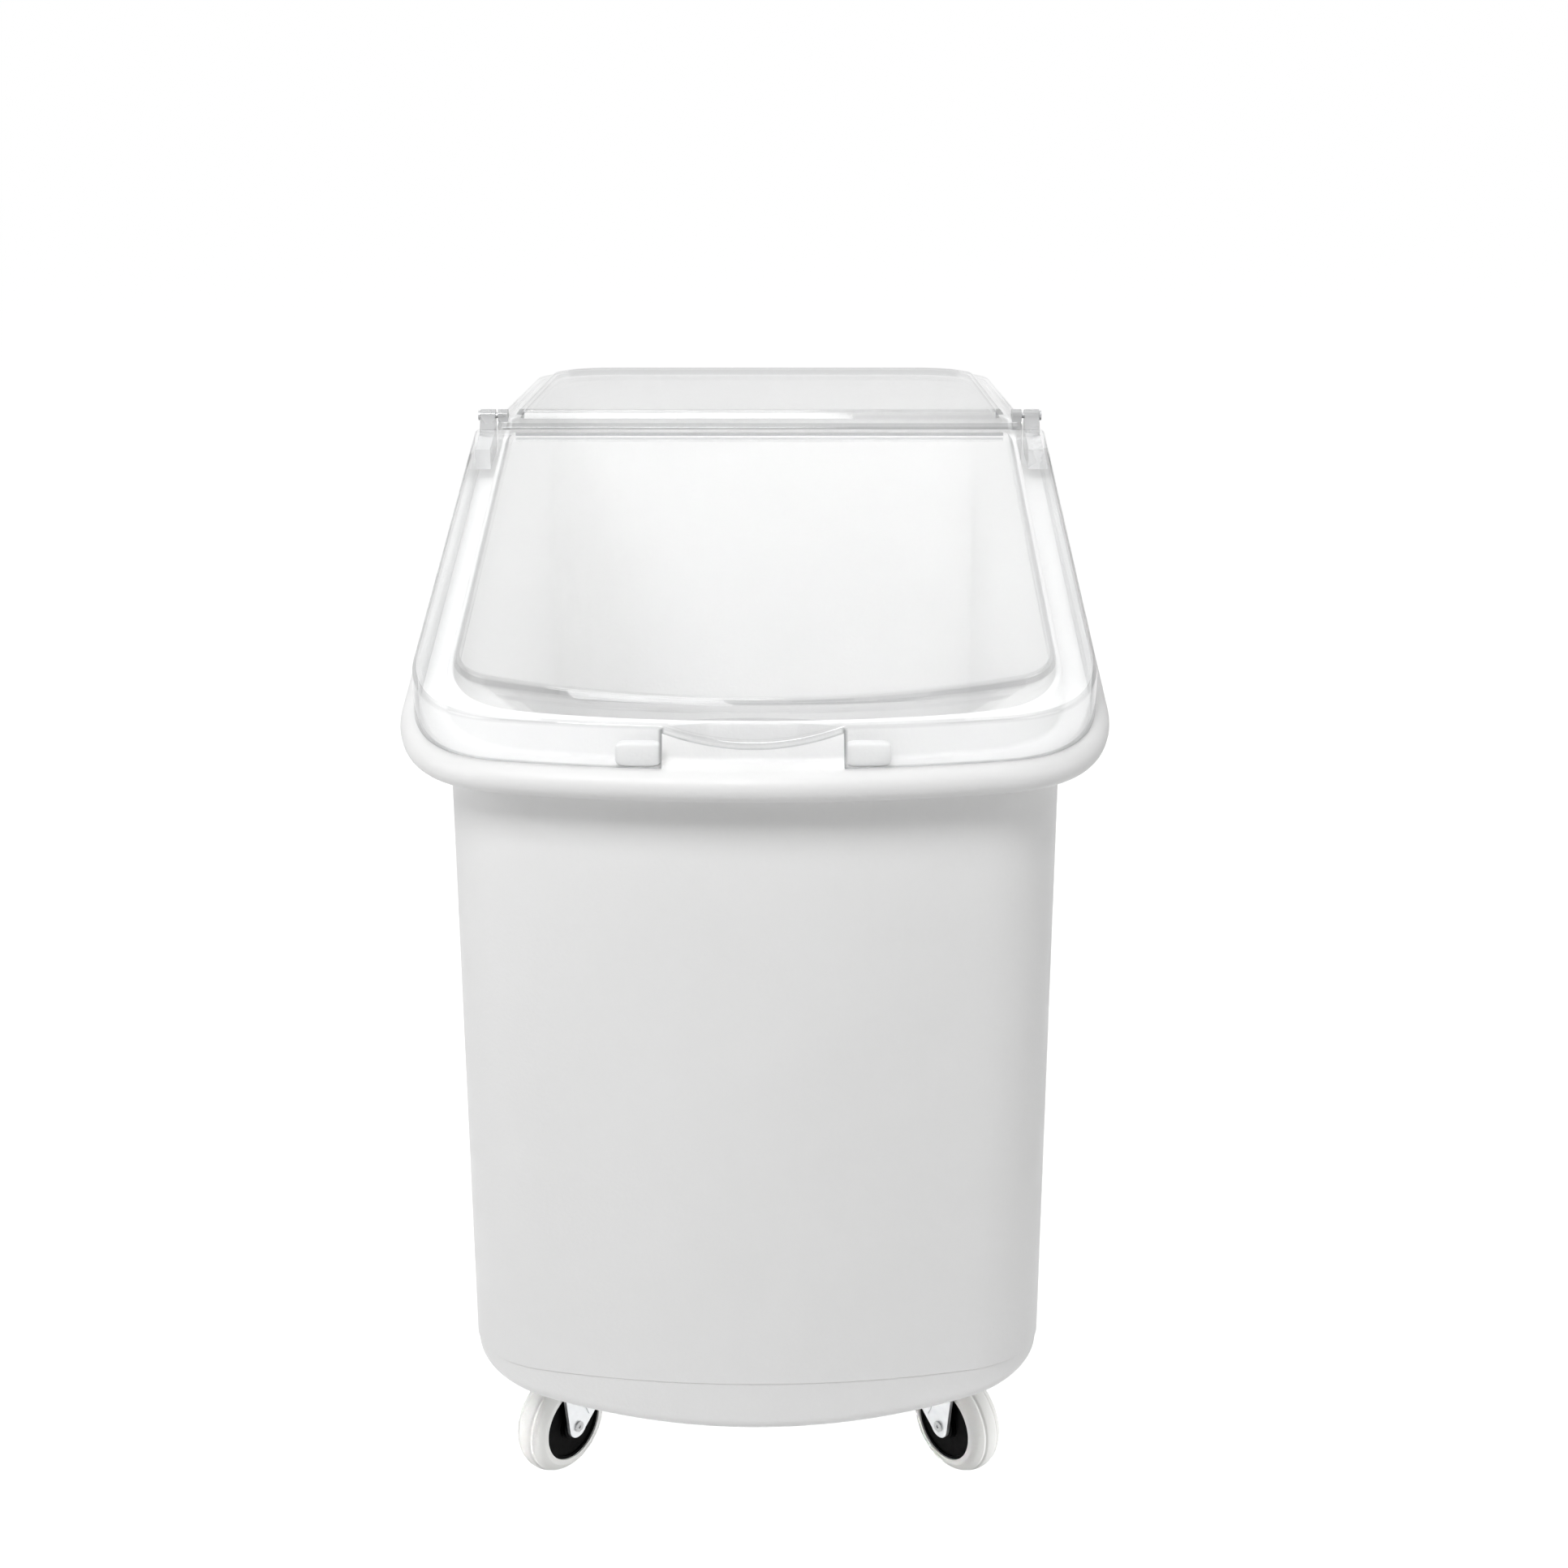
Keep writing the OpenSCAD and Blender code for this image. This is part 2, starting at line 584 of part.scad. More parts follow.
// Headed pins, pushed in from the sides: tight in the lugs, free in the ears.
module hinge_pins() {
    head_x = ear_x + ear_t + hinge_clear;
    color("silver") mirror_pair() {
        side_plate(lug_x, head_x + pin_head_h / 2 - lug_x) translate([pin_y, pin_z]) circle(pin_d / 2);
        side_plate(head_x, pin_head_h) translate([pin_y, pin_z]) circle(pin_head_r);
    }
}

// Casters

// Stands its children, drawn about a swivel axis, under one corner. Those on the right are mirrored.
module corner_place(name) {
    left = name == "front_left" || name == "rear_left";
    front = name == "front_left" || name == "front_right";
    y = front ? rim_front_y + caster_front : rim_rear_y - caster_rear;
    mirror([left ? 0 : 1, 0, 0]) translate([-caster_x, y, 0]) children();
}

// The same, turned with the fork.
module turned_place(name) {
    front = name == "front_left" || name == "front_right";
    corner_place(name) rotate([0, 0, front ? -front_turn : -rear_turn]) children();
}

// Stands its children, revolved about Z, on the axle with Z along the axle.
module on_axle() {
    translate([0, -trail, wheel_r]) rotate([0, 90, 0]) children();
}

module round_square(side, r) {
    square([side, side - 2 * r], center = true);
    square([side - 2 * r, side], center = true);
    for (x = [-1, 1], y = [-1, 1]) translate([x, y] * (side / 2 - r)) circle(r);
}

module bolt_places() {
    for (x = [-1, 1], y = [-1, 1]) translate([x, y, 0] * bolt_pitch / 2) children();
}

// Solid pads under the floor that give the plates a level seat on the cambered underside.
module caster_pads() {
    pad_top = under_z(caster_x + plate_w / 2 + pad_margin) - caster_h + over;
    color("white") difference() {
        for (name = CASTERS) corner_place(name) translate([0, 0, caster_h])
            linear_extrude(pad_top) round_square(plate_w + 2 * pad_margin, plate_r);
        translate([0, 0, base_z + camber_r]) rotate([90, 0, 0])
            cylinder(r = camber_r, h = bin_d, center = true, $fn = 360);
        for (name = CASTERS) corner_place(name) bolt_places()
            translate([0, 0, caster_h - over]) cylinder(d = bolt_d, h = bolt_l - plate_t + over + bolt_gap);
    }
}

module caster_bolts() {
    color("silver") for (name = CASTERS) corner_place(name) bolt_places() {
        translate([0, 0, plate_z - bolt_head_h]) cylinder(r = bolt_head_r, h = bolt_head_h);
        translate([0, 0, plate_z - over]) cylinder(d = bolt_d, h = bolt_l + over);
    }
}

// Ring that the balls run in, as a groove round a swivel axis.
module ball_groove() {
    translate([0, 0, ball_z]) rotate_extrude()
        translate([ball_circle_r, 0]) circle(ball_d / 2 + ball_seat_gap);
}

module plate(name) {
    color("lightgray") corner_place(name) difference() {
        union() {
            translate([0, 0, plate_z]) linear_extrude(plate_t) round_square(plate_w, plate_r);
            translate([0, 0, race_bottom_z])
                cylinder(r = ball_circle_r + race_wall, h = race_h + plate_t / 2);
        }
        translate([0, 0, race_bottom_z - over]) cylinder(r = ball_circle_r - race_wall, h = race_h + over);
        translate([0, 0, race_bottom_z]) cylinder(d = king_d, h = race_h + 2 * plate_t);
        bolt_places() translate([0, 0, plate_z - over])
            cylinder(d = bolt_d + 2 * bolt_gap, h = plate_t + 2 * over);
        ball_groove();
    }
}

module kingpin(name) {
    head_z = crown_top_z - fork_t - king_gap - king_head_h;
    color("silver") corner_place(name) translate([0, 0, head_z]) {
        cylinder(r = king_head_r, h = king_head_h);
        cylinder(d = king_d, h = caster_h - head_z);
    }
}

module balls(name) {
    color("silver") turned_place(name) for (i = [0:ball_count - 1]) rotate([0, 0, 360 * i / ball_count])
        translate([ball_circle_r, 0, ball_z]) sphere(d = ball_d);
}

// The crown of the fork reaches from over the round race to a little past the legs' ends.
crown_lead = 3;
crown_share = 0.6;
crown_front = -trail - fork_end_r - crown_lead;
crown_rear = crown_r * crown_share;
leg_shoulder = 8;

// Corners of the legs and of their pressed ribs, from the axle, in multiples of the legs' end radius.
leg_foot_angle = 30;
leg_flare_at = [2.6, 1];
leg_front_at = 3;
rib_foot_at = [1.3, 0.6];
rib_bend_at = [0.65, 2];
rib_head_w = 2 * fork_t;
rib_h = 1;

// Points of a leg in Y and Z: the rear edge flares from the axle up to the crown.
axle_at = [-trail, wheel_r];
leg_foot_rear = axle_at + fork_end_r * [cos(leg_foot_angle), -sin(leg_foot_angle)];
leg_flare = axle_at + fork_end_r * leg_flare_at;
leg_head_rear = [crown_rear, crown_top_z - leg_shoulder];

// One leg of the fork: wide at the crown, drawn in to a round end at the axle.
module leg_outline() {
    translate(axle_at) circle(fork_end_r);
    polygon([
        [crown_front, crown_top_z], [crown_rear, crown_top_z], leg_head_rear, leg_flare, leg_foot_rear,
        [-trail - fork_end_r, wheel_r], [crown_front, wheel_r + leg_front_at * fork_end_r]
    ]);
}

// The pressed rib along the flared rear edge of a leg.
module leg_rib() {
    polygon([
        leg_flare, leg_head_rear, leg_head_rear - [rib_head_w, 0],
        axle_at + fork_end_r * rib_bend_at,
        axle_at + fork_end_r * rib_foot_at
    ]);
}

module fork(name) {
    color("lightgray") turned_place(name) difference() {
        union() {
            translate([0, 0, crown_top_z - fork_t]) intersection() {
                cylinder(r = crown_r, h = fork_t);
                translate([-leg_x - fork_t, -crown_r, 0]) cube([2 * (leg_x + fork_t), 2 * crown_r, fork_t]);
            }
            translate([-leg_x - fork_t, crown_front, crown_top_z - fork_t])
                cube([2 * (leg_x + fork_t), crown_rear - crown_front, fork_t]);
            mirror_pair() {
                side_plate(leg_x, fork_t) leg_outline();
                side_plate(leg_x, fork_t + rib_h) leg_rib();
            }
        }
        translate([0, 0, crown_top_z - 2 * fork_t]) cylinder(r = king_d / 2 + run_gap, h = 3 * fork_t);
        on_axle() cylinder(d = axle_d, h = 4 * leg_x, center = true);
        ball_groove();
    }
}

module axle(name) {
    tail = leg_x + fork_t + nut_h + axle_tail;
    head_z = leg_x + fork_t;
    color("silver") turned_place(name) on_axle() difference() {
        union() {
            translate([0, 0, -tail]) cylinder(d = axle_d, h = tail + head_z);
            translate([0, 0, head_z]) cylinder(r = axle_head_r, h = axle_head_h);
        }
        translate([0, 0, head_z + axle_head_h - axle_dimple])
            cylinder(r = axle_dimple_r, h = 2 * axle_dimple);
    }
}

module axle_nut(name) {
    color("silver") turned_place(name) on_axle() translate([0, 0, -leg_x - fork_t - nut_h]) difference() {
        cylinder(r = nut_r, h = nut_h, $fn = 6);
        translate([0, 0, -over]) cylinder(d = axle_d, h = nut_h + 2 * over);
    }
}

module bush(name) {
    color("dimgray") turned_place(name) on_axle() difference() {
        cylinder(r = bush_r, h = 2 * leg_x, center = true);
        cylinder(d = axle_d, h = 3 * leg_x, center = true);
    }
}

// Black hub: a boss on the bush, a dished face on either side and a rim under the tyre.
module hub(name) {
    boss_r = bush_r + hub_boss_wall;
    rim_r = hub_d / 2 - hub_rim_wall;
    face = wheel_w / 2 - hub_face_in;
    color("black") turned_place(name) on_axle() rotate_extrude() difference() {
        union() {
            translate([0, -face]) square([hub_d / 2, 2 * face]);
            translate([0, -leg_x + hub_side_gap]) square([boss_r, 2 * (leg_x - hub_side_gap)]);
        }
        for (side = [-1, 1]) translate([boss_r + hub_groove, side > 0 ? face - hub_dish : -face - over])
            square([rim_r - boss_r - hub_groove, hub_dish + over]);
        translate([-over, -wheel_w]) square([bush_r + run_gap + over, 2 * wheel_w]);
    }
}

// White tyre with a full round tread.
module tyre(name) {
    drop = wheel_r - tyre_side_d / 2;
    tread_r = (pow(wheel_w / 2, 2) + drop * drop) / (2 * drop);
    color("whitesmoke") turned_place(name) on_axle() rotate_extrude($fn = 96) intersection() {
        translate([wheel_r - tread_r, 0]) circle(tread_r, $fn = 96);
        translate([hub_d / 2, -wheel_w / 2]) square([wheel_r, wheel_w]);
    }
}

bin_tub();
rear_lid();
front_lid();
hinge_ear_left();
hinge_ear_right();
hinge_lugs();
hinge_pins();
lid_stops();
caster_pads();
caster_bolts();
for (c = CASTERS) {
    plate(c);
    kingpin(c);
    balls(c);
    fork(c);
    axle(c);
    axle_nut(c);
    bush(c);
    hub(c);
    tyre(c);
}
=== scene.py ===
"""Looks of a rolling flour bin: a white tub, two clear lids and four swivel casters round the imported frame.

Lengths are in metres. X runs to the right, Y to the rear and Z up from the floor.
"""
import json
import math
from collections import namedtuple

import bpy
import numpy as np
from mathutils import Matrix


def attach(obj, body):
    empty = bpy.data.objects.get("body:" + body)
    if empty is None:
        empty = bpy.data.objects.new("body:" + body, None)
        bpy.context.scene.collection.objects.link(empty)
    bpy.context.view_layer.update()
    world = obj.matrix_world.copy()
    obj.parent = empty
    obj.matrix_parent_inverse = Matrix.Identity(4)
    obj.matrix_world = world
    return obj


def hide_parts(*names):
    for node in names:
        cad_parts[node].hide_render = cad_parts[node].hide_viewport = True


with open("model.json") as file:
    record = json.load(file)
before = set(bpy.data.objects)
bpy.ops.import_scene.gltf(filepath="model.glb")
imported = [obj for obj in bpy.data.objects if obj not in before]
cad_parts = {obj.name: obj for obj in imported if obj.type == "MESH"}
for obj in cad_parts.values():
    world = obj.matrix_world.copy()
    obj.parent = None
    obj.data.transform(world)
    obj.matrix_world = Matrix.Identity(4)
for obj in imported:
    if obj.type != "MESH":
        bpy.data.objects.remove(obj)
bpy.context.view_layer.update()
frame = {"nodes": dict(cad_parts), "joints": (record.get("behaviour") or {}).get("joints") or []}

bl_info = {
    "name": "Rolling flour bin",
    "version": (1, 0, 0),
    "blender": (4, 5, 0),
    "location": "3D View > Sidebar > Flour bin",
    "description": "Builds the looks of a slant-top flour bin round its packed frame",
    "category": "Object",
}

CASTERS = ("front_left", "front_right", "rear_left", "rear_right")
FILL_SHARES = (0.05, 0.25, 0.5, 0.75, 0.92, 0.985)
IMAGE_PIXELS = 1932
SENSOR_WIDTH = 36.0
FLOOR_TONE = 0.7
CORNER_STEPS = 20
SPLIT_CORNER = 0.004
NOTCH_STEPS = 36
NOTCH_EDGE = 0.0005
STRAIGHT = 100.0
STOP_STEPS = 64
TYRE_STEPS = 128

# Painted shade on the clear plastic, for the dark lines and grey that bent light gives its edges and sheets:
# the mesh attribute, and its shades from 0 (clear) to 1 (painted edge tone).
PAINTED_SHADE_ATTRIBUTE = "painted_edge_shade"
# Painted shade: a light grey over flanges, skirts and panels for the light that the layered clear sheet loses.
PAINTED_LAYER_SHADE = 0.1
# Painted shade of the dark lines that bent light draws at the creases, hem and notch ends, from faint to
# strong.
FAINT_PAINTED_SHADE = 0.2
CREASE_PAINTED_SHADE = 0.35
HEM_PAINTED_SHADE = 0.6
NOTCH_PAINTED_SHADE = 0.8

Lamp = namedtuple("Lamp", "name place size watts")
LAMP_AIM = (0, 0, 0.4)
LAMPS = (
    Lamp("front_lamp", (-0.5, -1.9, 2.3), (1.2, 0.8), 35),
    Lamp("top_lamp", (0, -0.3, 2.9), (1.3, 1.3), 8),
    Lamp("rear_lamp", (0, 1.75, 2.45), (2.2, 1.2), 8),
    Lamp("left_lamp", (-2.3, -1.1, 1.2), (1.4, 1.2), 13),
    Lamp("right_lamp", (2.3, -1.1, 1.2), (1.4, 1.2), 11),
)
# One low lamp on either side, narrow enough to light only the wheels.
WHEEL_LAMPS = tuple(Lamp("wheel_lamp", (side * 1.1, -0.5, 0.05), (0.3, 0.06), 0.055) for side in (-1, 1))
WHEEL_AIM = (0.13, -0.21, 0.04)
WHEEL_SPREAD = math.radians(10)


# Settings


def length(name, about, default):
    """A length in metres."""
    return bpy.props.FloatProperty(name=name, description=about, default=default, unit="LENGTH", precision=4)


def share(name, about, default):
    """A number from 0 to 1."""
    return bpy.props.FloatProperty(
        name=name, description=about, default=default, min=0, max=1, subtype="FACTOR")


def angle(name, about, degrees):
    """An angle, given in degrees."""
    return bpy.props.FloatProperty(
        name=name, description=about, default=math.radians(degrees), subtype="ANGLE")


def colour(name, about, default):
    """A linear colour."""
    return bpy.props.FloatVectorProperty(
        name=name, description=about, default=default, size=3, min=0, max=1, subtype="COLOR")


class TubSettings(bpy.types.PropertyGroup):
    """Sizes of the white tub."""
    half_width: length("Half width", "Half the width over the walls at the rim", 0.1835)
    front_y: length("Front", "Place of the front wall along the middle", -0.351)
    rear_y: length("Rear", "Place of the rear wall", 0.351)
    bow_radius: length("Front bow", "Radius of the bowed front wall, seen from above", 0.55)
    front_corner: length("Front corners", "Radius of the front corners, seen from above", 0.062)
    rear_corner: length("Rear corners", "Radius of the rear corners, seen from above", 0.055)
    wall: length("Wall", "Thickness of the walls and the floor", 0.004)
    draft: angle("Draft", "Draft of the walls", 0.1)
    base_z: length("Base height", "Height of the middle of the underside", 0.104)
    camber_radius: length("Camber", "Radius of the cambered underside, seen from the front", 0.8)
    base_edge: length("Lower edge", "Radius along the lower edge of the walls", 0.009)
    band_height: length("Base band", "Height of the plain band round the base", 0.035)
    band_step: length("Band step", "Depth of the step over the base band", 0.001)
    front_rim: length("Front ledge", "Height of the rim's ledge across the front", 0.5425)
    rear_rim: length("Rear ledge", "Height of the rim's ledge at the rear", 0.663)
    slope_y: length("Slope foot", "Place where the rim starts to climb", -0.327)
    hinge_y: length("Slope head", "Place where the rim stops climbing", 0.05)
    slope_ease: length("Slope ease", "Half the length of the bend at the slope's foot", 0.025)
    hinge_ease: length("Head ease", "Half the length of the bend at the slope's head", 0.004)
    rim_reach: length("Rim reach", "How far the rim stands out from the walls", 0.029)
    rim_thickness: length("Rim thickness", "Thickness of the rounded rim", 0.018)
    rim_fillet: length("Rim fillet", "Radius of the fillet under the rim", 0.01)
    collar: length("Collar", "Height of the collar round the mouth, over the ledge", 0.0232)
    collar_foot: length("Collar foot", "Radius of the fillet at the foot of the collar", 0.0025)


class LidSettings(bpy.types.PropertyGroup):
    """Sizes of the two clear lids."""
    thickness: length("Thickness", "Thickness of the lids", 0.003)
    collar_gap: length("Collar gap", "Gap between the collar and the lids", 0.0008)
    ledge_gap: length("Ledge gap", "Gap between the ledge and the skirts", 0.0008)
    front_reach: length("Front lid reach", "How far the front lid stands out from the walls", 0.0205)
    rear_reach: length("Rear lid reach", "How far the rear lid stands out from the walls", 0.0055)
    split_lead: length("Split lead", "Distance from the slope's head to the rear lid's front edge", 0.018)
    split: length("Split", "Gap between the two lids", 0.004)
    edge_radius: length("Edge radius", "Radius of the lids' upper edge", 0.003)
    panel_raise: length("Panel raise", "How far the raised panels stand over their flanges", 0.004)
    panel_side: length("Panel side", "Distance from the front lid's edge to its panel, at the sides", 0.0265)
    panel_front: length("Panel front", "Distance from the front lid's edge to its panel, in front", 0.0445)
    panel_split: length("Panel split", "Distance from the front lid's edge to its panel, at the split", 0.015)
    rear_panel_in: length("Rear panel", "Distance from the rear lid's edge to its panel", 0.014)
    panel_corner: length("Panel corners", "Corner radius of the front lid's panel", 0.03)
    panel_edge: length("Panel edge", "Radius along the raised panels' edge", 0.002)
    panel_step: length("Panel step", "Run of the raised panels' sloping side", 0.002)
    grip_width: length("Grip width", "Width of the finger notch in the front skirt", 0.102)
    grip_drop: length("Grip drop", "How far the scooped grip lip hangs below the flange", 0.009)
    grip_scoop: length("Grip scoop", "How far the scoop reaches back into the flange", 0.012)
    grip_lip: length("Grip lip", "Height of the lip along the scooped grip", 0.0025)
    split_lip: length("Split lip", "Height of the lips along the split", 0.0034)


class StopSettings(bpy.types.PropertyGroup):
    """Sizes of the two lid stops."""
    width: length("Width", "Width of the lid stops", 0.026)
    depth: length("Depth", "Depth of the lid stops", 0.009)
    height: length("Height", "Height of the lid stops", 0.014)
    gap: length("Side gap", "Gap between the finger notch and the lid stops", 0.001)
    back_gap: length("Back gap", "Gap between the collar's foot and the lid stops", 0.0003)
    softness: share("Softness", "How soft the edges of the lid stops are", 0.4)


class CasterSettings(bpy.types.PropertyGroup):
    """Sizes of the tyres."""
    wheel_radius: length("Wheel radius", "Radius of the wheels over their tread", 0.036)
    wheel_width: length("Wheel width", "Width of the tyres", 0.025)
    side_radius: length("Side radius", "Radius of the tyres at their side faces", 0.0285)
    hub_radius: length("Hub radius", "Radius of the hubs under the tyres", 0.025)
    groove_place: length("Groove place", "Distance of the two tread grooves from the middle", 0.0048)
    groove_depth: length("Groove depth", "Depth of the tread grooves", 0.0007)
    groove_width: length("Groove width", "Half the width of the tread grooves", 0.0009)


class FinishSettings(bpy.types.PropertyGroup):
    """Colours and gloss of the finishes."""
    tub_white: colour("Tub white", "Satin white polyethylene", (0.925, 0.925, 0.922))
    clear_tint: colour("Clear tint", "Tint of the clear polycarbonate", (0.99, 0.992, 0.993))
    # Painted shade: the dark tone drawn along the clear plastic's edges, creases and hems.
    painted_edge_tone: colour("Edge tint", "Tint of the clear polycarbonate along its edges", (0.14, 0.145, 0.15))
    zinc: colour("Zinc", "Bright zinc plate on steel", (0.64, 0.65, 0.66))
    steel: colour("Steel", "Turned steel of the axles and pins", (0.45, 0.455, 0.46))
    hub_black: colour("Hub black", "Black moulded nylon", (0.0005, 0.0005, 0.0006))
    tyre_white: colour("Tyre white", "White non-marking rubber", (0.95, 0.95, 0.946))
    tub_roughness: share("Tub roughness", "Mean roughness of the tub", 0.42)
    clear_roughness: share("Clear roughness", "Mean roughness of the clear lids", 0.03)
    frosted_tint: colour("Frosted tint", "Tint of the hinge blocks", (0.74, 0.745, 0.75))
    frosted_roughness: share("Frosted roughness", "Mean roughness of the hinge blocks", 0.22)
    frosted_clearness: share("Frosted clearness", "Share of light that passes through the hinge blocks", 0.35)


class StageSettings(bpy.types.PropertyGroup):
    """Camera, floor and light."""
    camera_x: length("Camera X", "Place of the camera along X", 0.0174)
    camera_y: length("Camera Y", "Place of the camera along Y", -1.5444)
    camera_z: length("Camera Z", "Height of the camera", 0.884)
    camera_pitch: angle("Camera pitch", "How far the camera looks down", 16.56)
    focal_pixels: bpy.props.FloatProperty(
        name="Focal length", description="Focal length in pixels of the square image", default=2688.5)
    floor_size: length("Floor size", "Side length of the floor", 60.0)
    world_strength: bpy.props.FloatProperty(
        name="World", description="Strength of the even light round the object", default=0.14, min=0)
    lamp_power: bpy.props.FloatProperty(
        name="Lamps", description="Power of the large soft lamps", default=1.0, min=0)


# Curves


def eased(u, ease):
    """A ramp that follows u from u = 0 on, with a parabola over ease to either side of its start."""
    return np.where(u <= -ease, 0.0, np.where(u >= ease, u, (u + ease) ** 2 / (4 * ease)))


def slope_of(tub):
    """Climb of the rim between the foot and the head of its slope, as a tangent."""
    return (tub.rear_rim - tub.front_rim) / (tub.hinge_y - tub.slope_y)


def front_rise(tub, y):
    """Climb over the front ledge: the slope's tangent times the eased ramp from the slope's foot."""
    return slope_of(tub) * eased(y - tub.slope_y, tub.slope_ease)


def rim_height(tub, y):
    """Height of the ledge: the front climb, less a second ramp that starts at the slope's head."""
    return tub.front_rim + front_rise(tub, y) - slope_of(tub) * eased(y - tub.hinge_y, tub.hinge_ease)


def lid_rise(tub, lid):
    """Height of the lids' flanges over the ledge: collar, gap and thickness."""
    return tub.collar + lid.collar_gap + lid.thickness


def under_height(tub, x):
    """Height of the underside: a cylinder of the camber's radius along Y that touches the base height."""
    return tub.base_z + tub.camber_radius - np.sqrt(tub.camber_radius ** 2 - x ** 2)


def draft_in(tub, z):
    """How far the drafted wall stands in: the draft's tangent times the depth below the rear ledge."""
    return -math.tan(tub.draft) * (tub.rear_rim - z)


Plan = namedtuple("Plan", "half front rear bow front_corner rear_corner")


def side_ends(plan):
    """Where a plan outline's straight side starts and ends: the front corner's circle touches bow and side."""
    reach = plan.bow - plan.front_corner
    start = plan.front + plan.bow - math.sqrt(reach ** 2 - (plan.half - plan.front_corner) ** 2)
    return start, plan.rear - plan.rear_corner


def side_shares(plan, stops):
    """Shares along the straight side of a plan outline for stops given along Y."""
    start, end = side_ends(plan)
    return (stops - start) / (end - start)


def half_outline(plan, bow, sides, tail, corner_steps):
    """The right half of a plan outline, as rows of x, y and the normal's angle from -Y towards +X.

    An arc of the bow's radius runs from the front middle, an arc of the front corner's radius meets it and
    the straight side, and a quarter circle joins the side to the straight rear. bow, sides and tail are
    shares along the bow, the side and the rear.
    """
    bow_y = plan.front + plan.bow
    corner_x = plan.half - plan.front_corner
    turn = math.asin(corner_x / (plan.bow - plan.front_corner))
    corner_y, rear_y = side_ends(plan)
    rear_x = plan.half - plan.rear_corner
    a = bow * turn
    b = np.linspace(turn, math.pi / 2, corner_steps + 1)[1:]
    c = np.linspace(math.pi / 2, math.pi, corner_steps + 1)
    return np.concatenate([
        np.stack([plan.bow * np.sin(a), bow_y - plan.bow * np.cos(a), a], 1),
        np.stack([corner_x + plan.front_corner * np.sin(b), corner_y - plan.front_corner * np.cos(b), b], 1),
        np.stack([np.full(len(sides), plan.half), corner_y + (rear_y - corner_y) * sides,
                  np.full(len(sides), math.pi / 2)], 1),
        np.stack([rear_x + plan.rear_corner * np.sin(c), rear_y - plan.rear_corner * np.cos(c), c], 1),
        np.stack([rear_x * (1 - tail), np.full(len(tail), plan.rear), np.full(len(tail), math.pi)], 1),
    ])


def mirrored(half):
    """Both halves of an outline that starts and ends on the middle plane."""
    return np.concatenate([half, half[-2:0:-1] * (-1, 1, -1)])


def pushed(outline, by):
    """Points x, y that lie a distance outside an outline, along its normals."""
    x, y, a = outline.T
    return np.stack([x + by * np.sin(a), y - by * np.cos(a)], 1)


def at_height(xy, z):
    """Points x, y with their height."""
    return np.column_stack([xy, np.broadcast_to(z, len(xy))])


def degrees(start, stop, steps):
    """Angles from start to stop, both in degrees."""
    return np.radians(np.linspace(start, stop, steps + 1))


def crowded(steps):
    """Shares from 0 to 1 without the ends, close together near both ends: half of 1 less a cosine."""
    return (1 - np.cos(np.linspace(0, math.pi, steps + 1)[1:-1])) / 2


def between(a, b, steps):
    """Loops on the straight lines from loop a to loop b, without a and b themselves, crowded near both."""
    return [a + (b - a) * f for f in crowded(steps)]


def filled(loop):
    """Loops that fill a flat loop: the loop shrunk about the middle of its box, from the middle outwards."""
    middle = (loop.min(0) + loop.max(0)) / 2
    return [middle + (loop - middle) * f for f in FILL_SHARES]


# Meshes


def lined(groups):
    """All loops of a list of groups, and each loop's painted shade on the clear plastic."""
    loops = [loop for group, _ in groups for loop in group]
    shades = [np.broadcast_to(shade, len(loop)) for group, shade in groups for loop in group]
    return loops, np.concatenate([*shades, [0, 0]])


def new_piece(name, vertices, faces, body, finish, slot, nodes=(), sharp=40, shades=None):
    """Makes a smooth mesh object at the origin with its finish, rides it on a body and hides the CAD nodes it
    replaces.
    """
    mesh = bpy.data.meshes.new(name)
    mesh.from_pydata(vertices, [], faces)
    mesh.validate()
    mesh.shade_smooth()
    mesh.set_sharp_from_angle(angle=math.radians(sharp))
    mesh.materials.append(finish)
    # The vertices carry the painted shade of the clear plastic's lines.
    if shades is not None:
        mesh.attributes.new(PAINTED_SHADE_ATTRIBUTE, "FLOAT", "POINT").data.foreach_set("value", shades.astype(np.float32))
    piece = bpy.data.objects.new(name, mesh)
    bpy.context.scene.collection.objects.link(piece)
    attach(piece, body)
    if nodes:
        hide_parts(*nodes)
    return piece


def loft(loops, start=0):
    """Vertices and faces of a closed skin through equal loops.

    A fan about the middle closes the first and the last loop. start is the number of the first vertex.
    """
    grid = np.array(loops)
    rows, n = grid.shape[:2]
    i = np.arange(n)
    j = (i + 1) % n
    row = np.arange(rows - 1)[:, None] * n
    quads = np.stack([row + i, row + i + n, row + j + n, row + j], -1).reshape(-1, 4)
    last = (rows - 1) * n
    top = np.stack([np.full(n, rows * n), i, j], 1)
    bottom = np.stack([np.full(n, rows * n + 1), last + j, last + i], 1)
    fans = np.concatenate([top, bottom])
    vertices = np.concatenate([grid.reshape(-1, 3), [grid[0].mean(0), grid[-1].mean(0)]])
    return vertices, (quads + start).tolist() + (fans + start).tolist()


